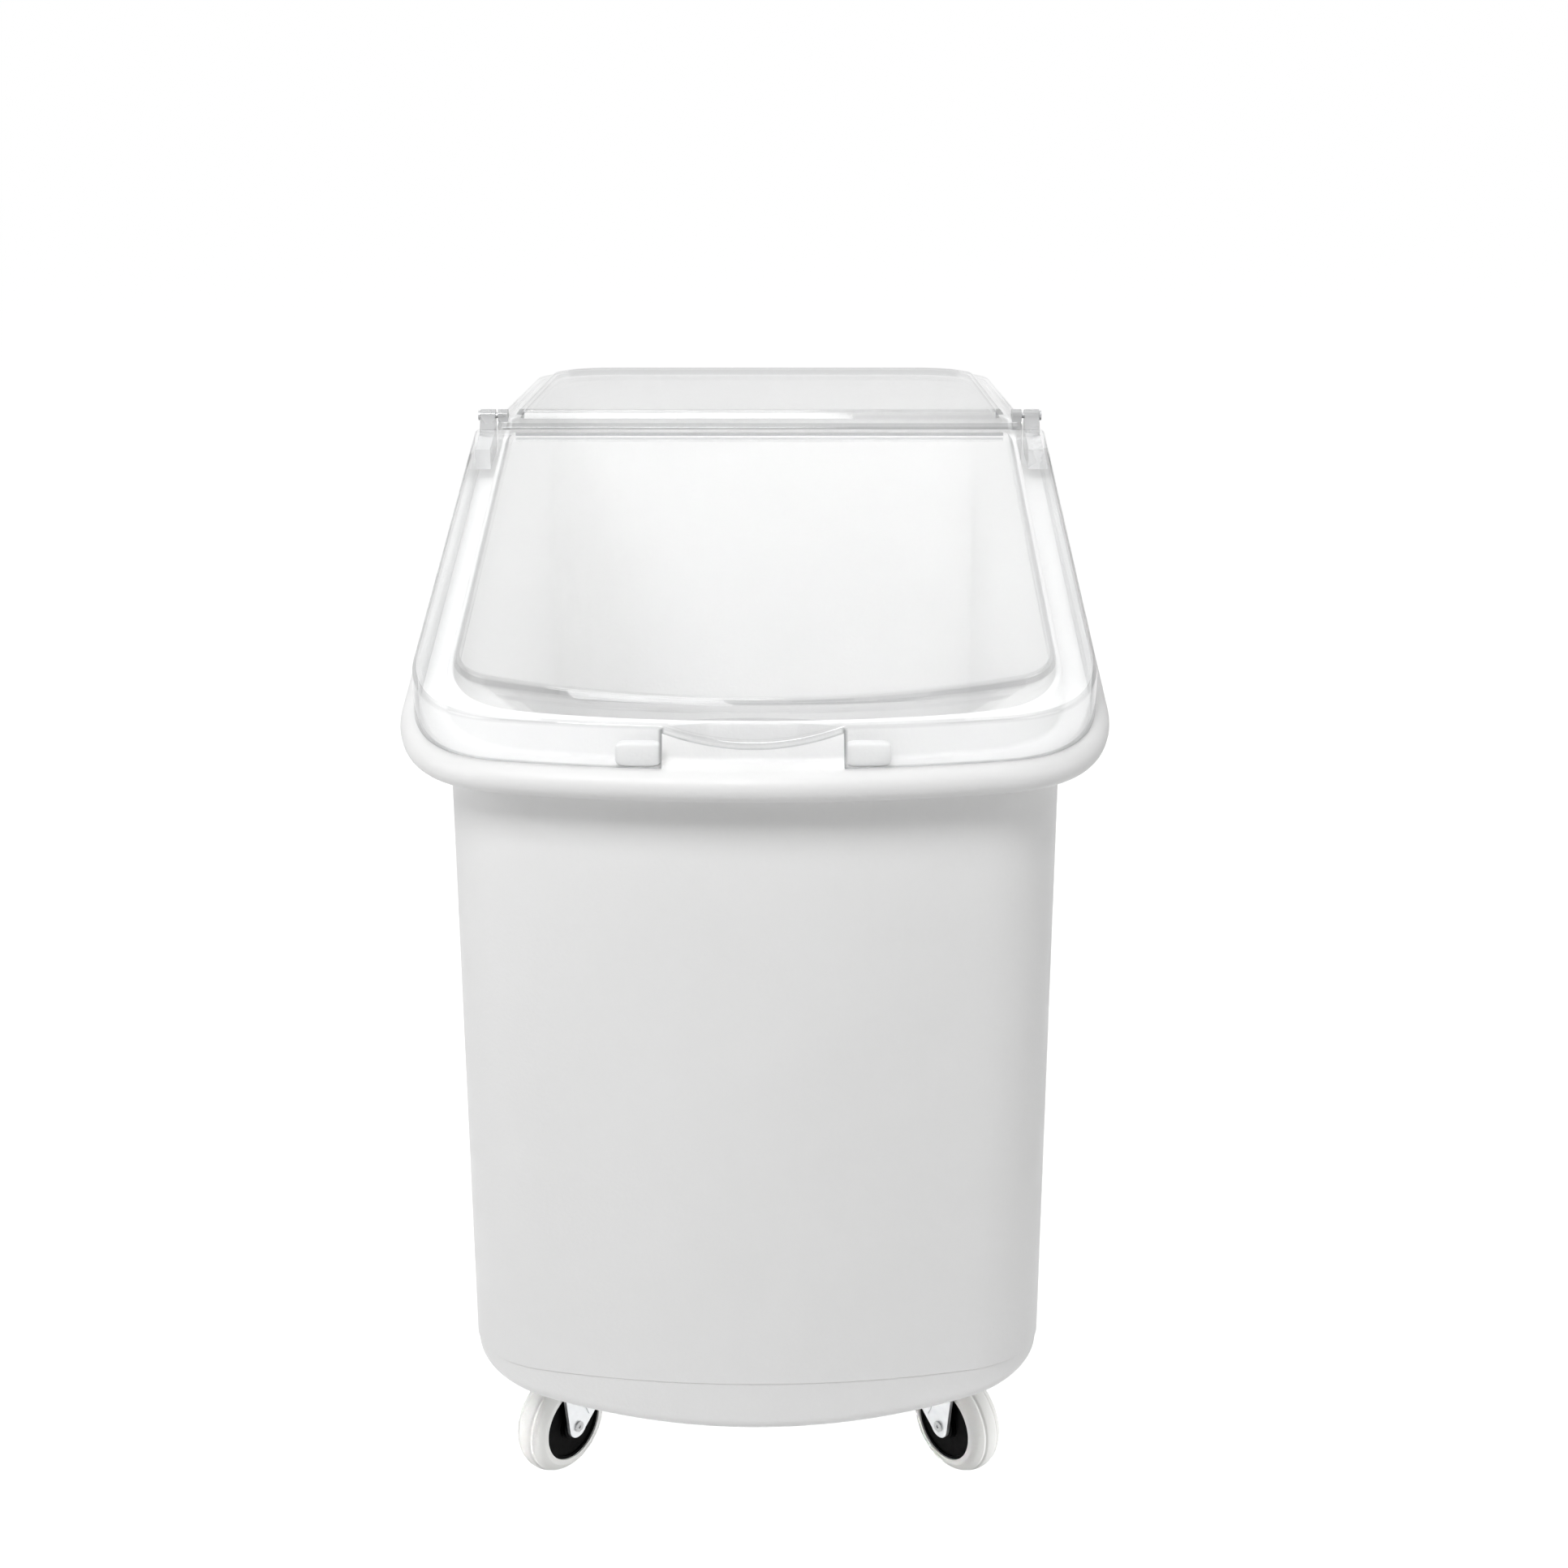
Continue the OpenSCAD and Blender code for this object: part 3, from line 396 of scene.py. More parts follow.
def revolved(profile, centre, axis, steps):
    """Vertices and faces of a ring: a closed profile of radius and place along an axis, turned about it."""
    axis = np.array(axis) / np.linalg.norm(axis)
    up = np.array([0.0, 0.0, 1.0])
    side = np.cross(axis, up)
    a = np.linspace(0, 2 * math.pi, steps, endpoint=False)
    spokes = np.outer(np.cos(a), up) + np.outer(np.sin(a), side)
    grid = centre + profile[:, 0, None, None] * spokes + profile[:, 1, None, None] * axis
    rows = len(profile)
    i, j = np.arange(steps), (np.arange(steps) + 1) % steps
    k, m = np.arange(rows)[:, None] * steps, ((np.arange(rows) + 1) % rows)[:, None] * steps
    quads = np.stack([k + i, k + j, m + j, m + i], -1).reshape(-1, 4)
    return grid.reshape(-1, 3), quads.tolist()


# Finishes


def shader(name):
    """A new material, its node tree and its Principled shader."""
    material = bpy.data.materials.new(name)
    material.use_nodes = True
    return material, material.node_tree, material.node_tree.nodes["Principled BSDF"]


def mottle(tree, scale, detail, low, high):
    """A noise on Object coordinates, spread from low to high."""
    place = tree.nodes.new("ShaderNodeTexCoord")
    noise = tree.nodes.new("ShaderNodeTexNoise")
    noise.inputs["Scale"].default_value = scale
    noise.inputs["Detail"].default_value = detail
    spread = tree.nodes.new("ShaderNodeMapRange")
    spread.inputs["From Min"].default_value = 0.3
    spread.inputs["From Max"].default_value = 0.7
    spread.inputs["To Min"].default_value = low
    spread.inputs["To Max"].default_value = high
    tree.links.new(place.outputs["Object"], noise.inputs["Vector"])
    tree.links.new(noise.outputs["Fac"], spread.inputs["Value"])
    return spread.outputs["Result"]


def wavering(tree, tone, amount, scale):
    """A colour that wavers between a tone and the same tone darkened by an amount."""
    mix = tree.nodes.new("ShaderNodeMix")
    mix.data_type = "RGBA"
    mix.inputs["A"].default_value = (*tone, 1)
    mix.inputs["B"].default_value = (*(c * (1 - amount) for c in tone), 1)
    tree.links.new(mottle(tree, scale, 3, 0, 1), mix.inputs["Factor"])
    return mix.outputs["Result"]


def toned(tree, bsdf, tone, amount, scale):
    """Lets the base colour waver about a tone."""
    tree.links.new(wavering(tree, tone, amount, scale), bsdf.inputs["Base Color"])


def grained(tree, bsdf, scale, depth, detail=2):
    """Gives a surface a fine moulded grain: noise as a bump of that depth."""
    bump = tree.nodes.new("ShaderNodeBump")
    bump.inputs["Strength"].default_value = 1
    bump.inputs["Distance"].default_value = depth
    tree.links.new(mottle(tree, scale, detail, 0, 1), bump.inputs["Height"])
    tree.links.new(bump.outputs["Normal"], bsdf.inputs["Normal"])


def satin_polyethylene(finishes):
    """White moulded polyethylene: a faint cloudiness, a satin gloss that wavers and a fine orange peel."""
    material, tree, bsdf = shader("satin_polyethylene")
    bsdf.inputs["Subsurface Weight"].default_value = 0.3
    bsdf.inputs["Subsurface Radius"].default_value = (1, 1, 1)
    bsdf.inputs["Subsurface Scale"].default_value = 0.004
    toned(tree, bsdf, finishes.tub_white, 0.025, 9)
    tree.links.new(mottle(tree, 40, 4, finishes.tub_roughness - 0.05, finishes.tub_roughness + 0.07),
                   bsdf.inputs["Roughness"])
    grained(tree, bsdf, 420, 0.00006)
    return material


def painted_edge_shade(tree, tone, edge, scale):
    """A clear tint that wavers a little and turns to the painted edge tone, a painted shade.

    It turns along the painted lines that the mesh's attribute draws, and where the surface is seen nearly edge
    on: both stand in for the darkening that bent light gives clear plastic.
    """
    line = tree.nodes.new("ShaderNodeAttribute")
    line.attribute_name = PAINTED_SHADE_ATTRIBUTE
    # Painted shade where the surface is seen nearly edge on.
    facing = tree.nodes.new("ShaderNodeLayerWeight")
    facing.inputs["Blend"].default_value = 0.5
    ramp = tree.nodes.new("ShaderNodeMapRange")
    ramp.inputs["From Min"].default_value = 0.72
    ramp.inputs["From Max"].default_value = 1
    ramp.inputs["To Max"].default_value = 0.3
    tree.links.new(facing.outputs["Facing"], ramp.inputs["Value"])
    both = tree.nodes.new("ShaderNodeMath")
    both.operation = "MAXIMUM"
    tree.links.new(line.outputs["Fac"], both.inputs[0])
    tree.links.new(ramp.outputs["Result"], both.inputs[1])
    shade = tree.nodes.new("ShaderNodeMix")
    shade.data_type = "RGBA"
    shade.inputs["B"].default_value = (*edge, 1)
    tree.links.new(both.outputs[0], shade.inputs["Factor"])
    tree.links.new(wavering(tree, tone, 0.012, scale), shade.inputs["A"])
    return shade.outputs["Result"]


def clear_plastic(name, tone, edge, roughness, clearness):
    """A clear moulded plastic with a gloss coat and a barely wavy surface.

    clearness is the share of light that passes through. The light is hardly bent, because full bending
    draws black lines along every thin edge, so the coat carries the gloss, and the darkening along the
    edges is painted shade in the base colour.
    """
    material, tree, bsdf = shader(name)
    bsdf.inputs["Transmission Weight"].default_value = clearness
    bsdf.inputs["IOR"].default_value = 1.003
    bsdf.inputs["Coat Weight"].default_value = 1
    bsdf.inputs["Coat IOR"].default_value = 1.5
    # Painted shade: the base colour darkens along the drawn lines and where the surface is seen edge on.
    tree.links.new(painted_edge_shade(tree, tone, edge, 14), bsdf.inputs["Base Color"])
    tree.links.new(mottle(tree, 60, 4, roughness * 0.6, roughness * 1.6), bsdf.inputs["Roughness"])
    grained(tree, bsdf, 26, 0.00005, 1)
    return material


def clear_polycarbonate(finishes):
    """The lids' clear polycarbonate."""
    return clear_plastic("clear_polycarbonate", finishes.clear_tint, finishes.painted_edge_tone,
                         finishes.clear_roughness, 1)


def frosted_polycarbonate(finishes):
    """The hinge blocks' polycarbonate, hazier and a little darker than the lids."""
    return clear_plastic("frosted_polycarbonate", finishes.frosted_tint, finishes.painted_edge_tone,
                         finishes.frosted_roughness, finishes.frosted_clearness)


def zinc_plate(finishes):
    """Bright zinc plate: a metal whose tone and gloss waver in fine spangles."""
    material, tree, bsdf = shader("zinc_plate")
    bsdf.inputs["Metallic"].default_value = 1
    toned(tree, bsdf, finishes.zinc, 0.05, 160)
    tree.links.new(mottle(tree, 300, 5, 0.38, 0.5), bsdf.inputs["Roughness"])
    grained(tree, bsdf, 900, 0.000008)
    return material


def turned_steel(finishes):
    """Turned steel of the axles, nuts and pins: darker and glossier than the plate."""
    material, tree, bsdf = shader("turned_steel")
    bsdf.inputs["Metallic"].default_value = 1
    toned(tree, bsdf, finishes.steel, 0.12, 220)
    tree.links.new(mottle(tree, 500, 5, 0.2, 0.34), bsdf.inputs["Roughness"])
    grained(tree, bsdf, 1200, 0.00001)
    return material


def black_nylon(finishes):
    """Black moulded nylon with a fine grain."""
    material, tree, bsdf = shader("black_nylon")
    bsdf.inputs["Specular IOR Level"].default_value = 0.03
    toned(tree, bsdf, finishes.hub_black, 0.3, 120)
    tree.links.new(mottle(tree, 200, 4, 0.4, 0.58), bsdf.inputs["Roughness"])
    grained(tree, bsdf, 1400, 0.00004)
    return material


def white_rubber(finishes):
    """White tyre rubber: a soft sheen, faint cloudiness and a fine matt grain."""
    material, tree, bsdf = shader("white_rubber")
    toned(tree, bsdf, finishes.tyre_white, 0.05, 70)
    tree.links.new(mottle(tree, 180, 4, 0.38, 0.55), bsdf.inputs["Roughness"])
    grained(tree, bsdf, 1100, 0.00004)
    return material


FINISHES = {
    "satin_polyethylene": satin_polyethylene,
    "clear_polycarbonate": clear_polycarbonate,
    "frosted_polycarbonate": frosted_polycarbonate,
    "zinc_plate": zinc_plate,
    "turned_steel": turned_steel,
    "black_nylon": black_nylon,
    "white_rubber": white_rubber,
}


def finish(context, name):
    """The material of that name, made the first time it is asked for."""
    return bpy.data.materials.get(name) or FINISHES[name](context.scene.flour_bin_finish)


def dress(node, material):
    """Gives a CAD node its finish."""
    slots = frame["nodes"][node].data.materials
    slots.clear()
    slots.append(material)


# Pieces


def tub_plan(tub):
    """The plan outline of the tub's outer wall at the rim."""
    return Plan(tub.half_width, tub.front_y, tub.rear_y, tub.bow_radius, tub.front_corner, tub.rear_corner)


def tub_loops(tub):
    """The tub's skin as loops round its plan outline.

    Each loop is the outline pushed out by a distance, at a height over the ledge, over the cambered
    underside or at one level. The loops run from the middle of the floor up the inner wall, over the collar,
    out along the ledge, round the bullnose rim, down the outer wall with its step and under the lower edge
    to the middle.
    """
    bow, tail = np.linspace(0, 1, 30), np.linspace(0.1, 1, 10)
    outline = mirrored(half_outline(tub_plan(tub), bow, tub_sides(tub), tail, CORNER_STEPS))

    def rim_loop(out, up):
        xy = pushed(outline, out)
        return at_height(xy, rim_height(tub, xy[:, 1]) + up)

    def wall_loop(out, up):
        z = rim_height(tub, outline[:, 1]) + up
        return at_height(pushed(outline, out + draft_in(tub, z)), z)

    def level_loop(out, z):
        return at_height(pushed(outline, out + draft_in(tub, z)), z)

    def base_loop(out, up):
        xy = pushed(outline, out + draft_in(tub, tub.base_z))
        return at_height(xy, under_height(tub, xy[:, 0]) + up)

    def drawn_in(loop, shares, lift):
        return [at_height(loop[:, :2] * f, under_height(tub, loop[:, 0] * f) + lift) for f in shares]

    wall, nose = tub.wall, tub.rim_thickness / 2
    inner_edge = tub.base_edge - wall
    shares = np.append(np.linspace(0.04, 0.94, 14), 0.985)
    band_z = tub.base_z + tub.band_height
    floor = [base_loop(-wall - inner_edge * (1 - math.sin(a)), wall + inner_edge * (1 - math.cos(a)))
             for a in degrees(0, 90, 8)]
    collar = [rim_loop(wall / 2 * (math.cos(a) - 1), tub.collar - wall / 2 * (1 - math.sin(a)))
              for a in degrees(180, 0, 10)]
    foot = [rim_loop(tub.collar_foot * (1 - math.sin(a)), tub.collar_foot * (1 - math.cos(a)))
            for a in degrees(90, 0, 5)]
    rim = [rim_loop(tub.rim_reach - nose * (1 - math.cos(a)), -nose * (1 - math.sin(a)))
           for a in degrees(90, -90, 20)]
    bend = tub.rim_fillet
    fillet = [wall_loop(bend * (1 - math.cos(a)), -tub.rim_thickness - bend * (1 - math.sin(a)))
              for a in degrees(90, 0, 8)]
    step = [level_loop(-tub.band_step * s, band_z - tub.band_step * (s - 0.5))
            for s in (1 - np.cos(degrees(0, 180, 6))) / 2]
    edge = [base_loop(-tub.band_step - tub.base_edge * (1 - math.sin(a)), tub.base_edge * (1 - math.cos(a)))
            for a in degrees(90, 0, 10)]
    return [
        *drawn_in(floor[0], shares, wall), *floor,
        *between(floor[-1], collar[0], 26), *collar,
        *between(collar[-1], foot[0], 8), *foot,
        *between(foot[-1], rim[0], 8), *rim,
        *between(rim[-1], fillet[0], 6), *fillet,
        *between(fillet[-1], step[0], 26), *step,
        *between(step[-1], edge[0], 8), *edge,
        *drawn_in(edge[-1], shares[::-1], 0),
    ]


def tub_sides(tub):
    """Shares along the tub's side, close together at the head of the slope."""
    plan = tub_plan(tub)
    start, end = side_ends(plan)
    head = head_stops(tub)
    stops = np.concatenate([
        np.linspace(start, head[0], 18)[1:-1], head, np.linspace(head[-1], end, 14)[1:-1]])
    return side_shares(plan, stops)


def head_stops(tub):
    """Places along Y across the bend at the head of the slope."""
    return tub.hinge_y + tub.hinge_ease * np.linspace(-2, 2, 13)


def front_lid_loops(tub, lid):
    """The front lid's skin as loops, with each loop's painted shade: panel, flange with its scooped grip,
    rounded edge, skirt and underside.

    The flange follows the ledge's climb, and the panel lies on the plane of the slope. Within the notch a
    share that falls off with the square of the distance from the middle draws the flange back and lets its
    lip hang.
    """
    rise = lid_rise(tub, lid)
    reach = lid.front_reach
    outer = Plan(tub.half_width + reach, tub.front_y - reach, tub.hinge_y - lid.split_lead - lid.split,
                 tub.bow_radius + reach, tub.front_corner + reach, SPLIT_CORNER)
    inner = Plan(outer.half - lid.panel_side, outer.front + lid.panel_front, outer.rear - lid.panel_split,
                 tub.bow_radius, lid.panel_corner, SPLIT_CORNER)
    half_turn = math.asin((outer.half - outer.front_corner) / (outer.bow - outer.front_corner))

    def notch_share(past):
        return math.asin((lid.grip_width / 2 + past) / outer.bow) / half_turn

    bow = np.concatenate([np.linspace(0, notch_share(0), NOTCH_STEPS + 1), [notch_share(NOTCH_EDGE)],
                          np.linspace(notch_share(5 * NOTCH_EDGE), 1, 15)])
    sides = np.linspace(0, 1, 40)[1:-1]
    tail = np.concatenate([[NOTCH_EDGE / outer.half], np.linspace(0.1, 1, 10)])
    edge = half_outline(outer, bow, sides, tail, CORNER_STEPS)
    count = len(edge)
    order = np.arange(count)
    scoop = np.where(order < NOTCH_STEPS, 1 - (order / NOTCH_STEPS) ** 2, 0)
    in_notch = order <= NOTCH_STEPS
    in_split = order >= count - len(tail)
    at_end = (order == NOTCH_STEPS) | (order == NOTCH_STEPS + 1)
    back = order[-2:0:-1]
    scoop, in_notch, in_split, at_end = (
        np.concatenate([a, a[back]]) for a in (scoop, in_notch, in_split, at_end))
    edge = mirrored(edge)
    panel = mirrored(half_outline(inner, bow, sides, tail, CORNER_STEPS))

    def flange_z(y):
        return tub.front_rim + rise + front_rise(tub, y)

    def flange_loop(out, up, draw, hang):
        xy = pushed(edge, out - draw * scoop)
        return at_height(xy, flange_z(xy[:, 1]) + up - hang * scoop)

    def hem(out):
        z = flange_z(edge[:, 1])
        full = tub.front_rim + front_rise(tub, edge[:, 1]) + lid.ledge_gap
        lip = z - lid.edge_radius - lid.grip_lip - lid.grip_drop * scoop
        skirt = np.where(in_notch, lip, full)
        return at_height(pushed(edge, out), np.where(in_split, z - lid.split_lip, skirt))

    def panel_foot(out, up):
        xy = pushed(panel, out)
        return at_height(xy, flange_z(xy[:, 1]) + up)

    def panel_top(out, up):
        xy = pushed(panel, out)
        z = tub.front_rim + rise + slope_of(tub) * (xy[:, 1] - tub.slope_y) + lid.panel_raise
        return at_height(xy, z + up)

    r, e, t = lid.panel_edge, lid.edge_radius, lid.thickness
    brow = [panel_top(-r * (1 - math.sin(a)), -r * (1 - math.cos(a))) for a in degrees(0, 80, 8)]
    foot = panel_foot(lid.panel_step, 0)
    crease = flange_loop(-e, 0, lid.grip_scoop, 0)
    rounded = [flange_loop(-e * (1 - math.sin(a)), -e * (1 - math.cos(a)), 0, lid.grip_drop)
               for a in degrees(10, 90, 8)]
    low, low_in = hem(0), hem(-t)
    inside = flange_loop(-t, -t, 0, lid.grip_drop)
    inside_crease = flange_loop(-t - e, -t, lid.grip_scoop, 0)
    inside_foot = panel_foot(lid.panel_step - t, -t)
    inside_top = panel_top(-t, -t)
    # Painted shade: dark lines along the panel's edges, the crease, the hem and the notch ends, and a light
    # grey over the grip lens, flange and skirt, darker on the sides that are seen edge on; all stand in for
    # light that the clear sheet bends away.
    panel_shade = np.where(in_split, 1, 0.3)
    brow_shade = np.where(in_split, 0.9, 0.1)
    lens = np.where(in_notch, CREASE_PAINTED_SHADE, PAINTED_LAYER_SHADE)
    skirt_shade = np.where(at_end, NOTCH_PAINTED_SHADE, 2.2 * PAINTED_LAYER_SHADE)
    flank_shade = PAINTED_LAYER_SHADE * (0.2 + 2 * np.sin(edge[:, 2]) ** 2)
    return lined((
        (filled(brow[0]), 0), (brow[:1], 0), (brow[1:], brow_shade), (between(brow[-1], foot, 4), panel_shade),
        ([foot], panel_shade), (between(foot, crease, 10), flank_shade), ([crease], CREASE_PAINTED_SHADE),
        (between(crease, rounded[0], 8), lens), (rounded, CREASE_PAINTED_SHADE),
        (between(rounded[-1], low, 8), skirt_shade), ([low, low_in], HEM_PAINTED_SHADE),
        (between(low_in, inside, 8), skirt_shade), ([inside], FAINT_PAINTED_SHADE),
        (between(inside, inside_crease, 8), lens), ([inside_crease], FAINT_PAINTED_SHADE),
        (between(inside_crease, inside_foot, 10), flank_shade), ([inside_foot], 0.5 * panel_shade),
        (between(inside_foot, inside_top, 4), 0.5 * panel_shade), ([inside_top], 0.3 * panel_shade),
        (filled(inside_top)[::-1], 0),
    ))


def rear_lid_loops(tub, lid):
    """The rear lid's skin as loops, with each loop's painted shade: level panel, flange, rounded edge, skirt
    and underside.

    The flange's edge follows the ledge's height, so in front of the slope's head it slopes down to the split,
    and the panel lies level behind that bend.
    """
    rise = lid_rise(tub, lid)
    outer = Plan(tub.half_width + lid.rear_reach, tub.hinge_y - lid.split_lead, tub.rear_y + lid.rear_reach,
                 STRAIGHT, SPLIT_CORNER, tub.rear_corner + lid.rear_reach)
    inner = Plan(outer.half - lid.rear_panel_in, tub.hinge_y - tub.hinge_ease, outer.rear - lid.rear_panel_in,
                 STRAIGHT, SPLIT_CORNER, outer.rear_corner - lid.rear_panel_in)
    head = head_stops(tub)
    bow = np.concatenate([np.linspace(0, 1 - NOTCH_EDGE / outer.half, 12), [1]])
    tail = np.linspace(0.1, 1, 10)

    def half(plan, near):
        stops = np.concatenate([near, np.linspace(near[-1], side_ends(plan)[1], 20)[1:-1]])
        return half_outline(plan, bow, side_shares(plan, stops), tail, CORNER_STEPS)

    edge = half(outer, head)
    order = np.arange(len(edge))
    in_split = order < len(bow) - 1
    in_rear = order >= len(edge) - len(tail) - 12
    in_split, in_rear = (np.concatenate([a, a[order[-2:0:-1]]]) for a in (in_split, in_rear))
    edge = mirrored(edge)
    panel = mirrored(half(inner, side_ends(inner)[0] + (head - head[0]) / 2 + NOTCH_EDGE))

    def flange_loop(out, up):
        xy = pushed(edge, out)
        return at_height(xy, rim_height(tub, xy[:, 1]) + rise + up)

    def panel_loop(out, up):
        return at_height(pushed(panel, out), tub.rear_rim + rise + up)

    def hem(out):
        xy = pushed(edge, out)
        lip = rim_height(tub, xy[:, 1]) + rise - lid.split_lip
        return at_height(xy, np.where(in_split, lip, rim_height(tub, edge[:, 1]) + lid.ledge_gap))

    r, e, t = lid.panel_edge, lid.edge_radius, lid.thickness
    brow = [panel_loop(-r * (1 - math.sin(a)), lid.panel_raise - r * (1 - math.cos(a)))
            for a in degrees(0, 80, 8)]
    foot = panel_loop(lid.panel_step, 0)
    rounded = [flange_loop(-e * (1 - math.sin(a)), -e * (1 - math.cos(a))) for a in degrees(0, 90, 8)]
    low, low_in = hem(0), hem(-t)
    inside = flange_loop(-t, -t)
    inside_foot = panel_loop(lid.panel_step - t, -t)
    inside_top = panel_loop(-t, lid.panel_raise - t)
    # Painted shade: dark lines along the rear edge, the panel's sides, the rounded edge and the hem, and a
    # light grey over the rest, standing in for light that the clear sheet bends away.
    panel_shade = np.where(in_rear, 1, np.where(in_split, PAINTED_LAYER_SHADE, 0.7))
    rear_rim_shade = np.where(in_rear, 0.9, PAINTED_LAYER_SHADE)
    rounded_shade = np.where(in_split, HEM_PAINTED_SHADE, 0.5)
    return lined((
        (filled(brow[0])[:-1], PAINTED_LAYER_SHADE), (filled(brow[0])[-1:], rear_rim_shade), (brow, panel_shade),
        (between(brow[-1], foot, 4), panel_shade),
        ([foot, *between(foot, rounded[0], 8)], PAINTED_LAYER_SHADE), (rounded, rounded_shade),
        (between(rounded[-1], low, 8), PAINTED_LAYER_SHADE), ([low, low_in], 0.5), (between(low_in, inside, 8), PAINTED_LAYER_SHADE),
        ([inside], rounded_shade), ([*between(inside, inside_foot, 8), inside_foot], PAINTED_LAYER_SHADE),
        (between(inside_foot, inside_top, 4), panel_shade), ([inside_top], panel_shade),
        (filled(inside_top)[::-1], PAINTED_LAYER_SHADE),
    ))


def stop_loops(tub, lid, stop, side):
    """One lid stop as loops from its top to its foot.

    The block is a superellipsoid: every sine and cosine of the two angles keeps its sign and is raised to a
    small power, so that the faces are flat and the edges soft.
    """
    def power(a):
        return np.sign(a) * np.abs(a) ** stop.softness

    half = np.array([stop.width, stop.depth, stop.height]) / 2
    middle = np.array([side * (lid.grip_width / 2 + stop.gap + half[0]),
                       tub.front_y - tub.collar_foot - stop.back_gap - half[1], tub.front_rim + half[2]])
    turn = np.linspace(0, 2 * math.pi, STOP_STEPS, endpoint=False)
    ring = np.stack([power(np.cos(turn)), power(np.sin(turn)), np.zeros(STOP_STEPS)], 1)
    rise = np.array([0.0, 0.0, 1.0])
    return [middle + half * (ring * power(math.cos(a)) + rise * power(math.sin(a)))
            for a in degrees(88, -88, 40)]


def tyre_profile(caster):
    """A tyre's closed profile, as radius and place along the axle.

    The tread is an arc through the crown and both shoulders. Two grooves are cut into it, each a bell of the
    distance from its own place, and straight sides run from the shoulders down to the hub.
    """
    half = caster.wheel_width / 2
    drop = caster.wheel_radius - caster.side_radius
    tread_radius = (half ** 2 + drop ** 2) / (2 * drop)
    place = np.linspace(-half, half, 121)
    tread = caster.wheel_radius - tread_radius + np.sqrt(tread_radius ** 2 - place ** 2)
    for side in (-1, 1):
        off = (place - side * caster.groove_place) / caster.groove_width
        tread -= caster.groove_depth * np.exp(-off ** 2)
    cheek = caster.side_radius + (caster.hub_radius - caster.side_radius) * np.linspace(0, 1, 5)[1:]
    bore = half * np.linspace(1, -1, 9)[1:-1]
    return np.concatenate([
        np.stack([tread, place], 1),
        np.stack([cheek, np.full(len(cheek), half)], 1),
        np.stack([np.full(len(bore), caster.hub_radius), bore], 1),
        np.stack([cheek[::-1], np.full(len(cheek), -half)], 1),
    ])


# Operators


class FLOURBIN_OT_tub(bpy.types.Operator):
    """Builds the white tub with its collar, ledge and rounded rim"""
    bl_idname = "flourbin.tub"
    bl_label = "Tub"

    def execute(self, context):
        vertices, faces = loft(tub_loops(context.scene.flour_bin_tub))
        new_piece("tub", vertices, faces, "bin", finish(context, "satin_polyethylene"), "white_plastic",
                  ["bin_tub"])
        dress("caster_pads", finish(context, "satin_polyethylene"))
        return {"FINISHED"}


class FLOURBIN_OT_stops(bpy.types.Operator):
    """Builds the two soft white lid stops on the front ledge"""
    bl_idname = "flourbin.stops"
    bl_label = "Lid stops"

    def execute(self, context):
        scene = context.scene
        settings = scene.flour_bin_tub, scene.flour_bin_lid, scene.flour_bin_stop
        left, left_faces = loft(stop_loops(*settings, -1))
        right, right_faces = loft(stop_loops(*settings, 1), len(left))
        new_piece("stops", np.concatenate([left, right]), left_faces + right_faces, "bin",
                  finish(context, "satin_polyethylene"), "white_plastic", ["lid_stops"])
        return {"FINISHED"}


class FLOURBIN_OT_front_lid(bpy.types.Operator):
    """Builds the clear sloping front lid with its scooped grip"""
    bl_idname = "flourbin.front_lid"
    bl_label = "Front lid"

    def execute(self, context):
        loops, shades = front_lid_loops(context.scene.flour_bin_tub, context.scene.flour_bin_lid)
        new_piece("front_lid_shell", *loft(loops), "lid", finish(context, "clear_polycarbonate"),
                  "clear_plastic", ["front_lid"], 30, shades)
        return {"FINISHED"}


class FLOURBIN_OT_rear_lid(bpy.types.Operator):
    """Builds the clear level rear lid"""
    bl_idname = "flourbin.rear_lid"
    bl_label = "Rear lid"

    def execute(self, context):
        loops, shades = rear_lid_loops(context.scene.flour_bin_tub, context.scene.flour_bin_lid)
        new_piece("rear_lid_shell", *loft(loops), "bin", finish(context, "clear_polycarbonate"),
                  "clear_plastic", ["rear_lid"], 30, shades)
        return {"FINISHED"}


class FLOURBIN_OT_hinge(bpy.types.Operator):
    """Finishes the clear hinge ears and lugs and the hinge pins"""
    bl_idname = "flourbin.hinge"
    bl_label = "Hinge"

    def execute(self, context):
        for node in ("hinge_ear_left", "hinge_ear_right", "hinge_lugs"):
            dress(node, finish(context, "frosted_polycarbonate"))
        dress("hinge_pins", finish(context, "turned_steel"))
        return {"FINISHED"}


class FLOURBIN_OT_tyres(bpy.types.Operator):
    """Builds the white tyres with their grooved treads"""
    bl_idname = "flourbin.tyres"
    bl_label = "Tyres"

    def execute(self, context):
        profile = tyre_profile(context.scene.flour_bin_caster)
        joints = {joint["child"]: joint for joint in frame["joints"]}
        for name in CASTERS:
            spin = joints[f"{name}_wheel"]
            vertices, faces = revolved(profile, np.array(spin["pos_m"]), spin["axis"], TYRE_STEPS)
            new_piece(f"{name}_tread", vertices, faces, f"{name}_wheel", finish(context, "white_rubber"),
                      "white_rubber", [f"{name}_tyre"])
        return {"FINISHED"}


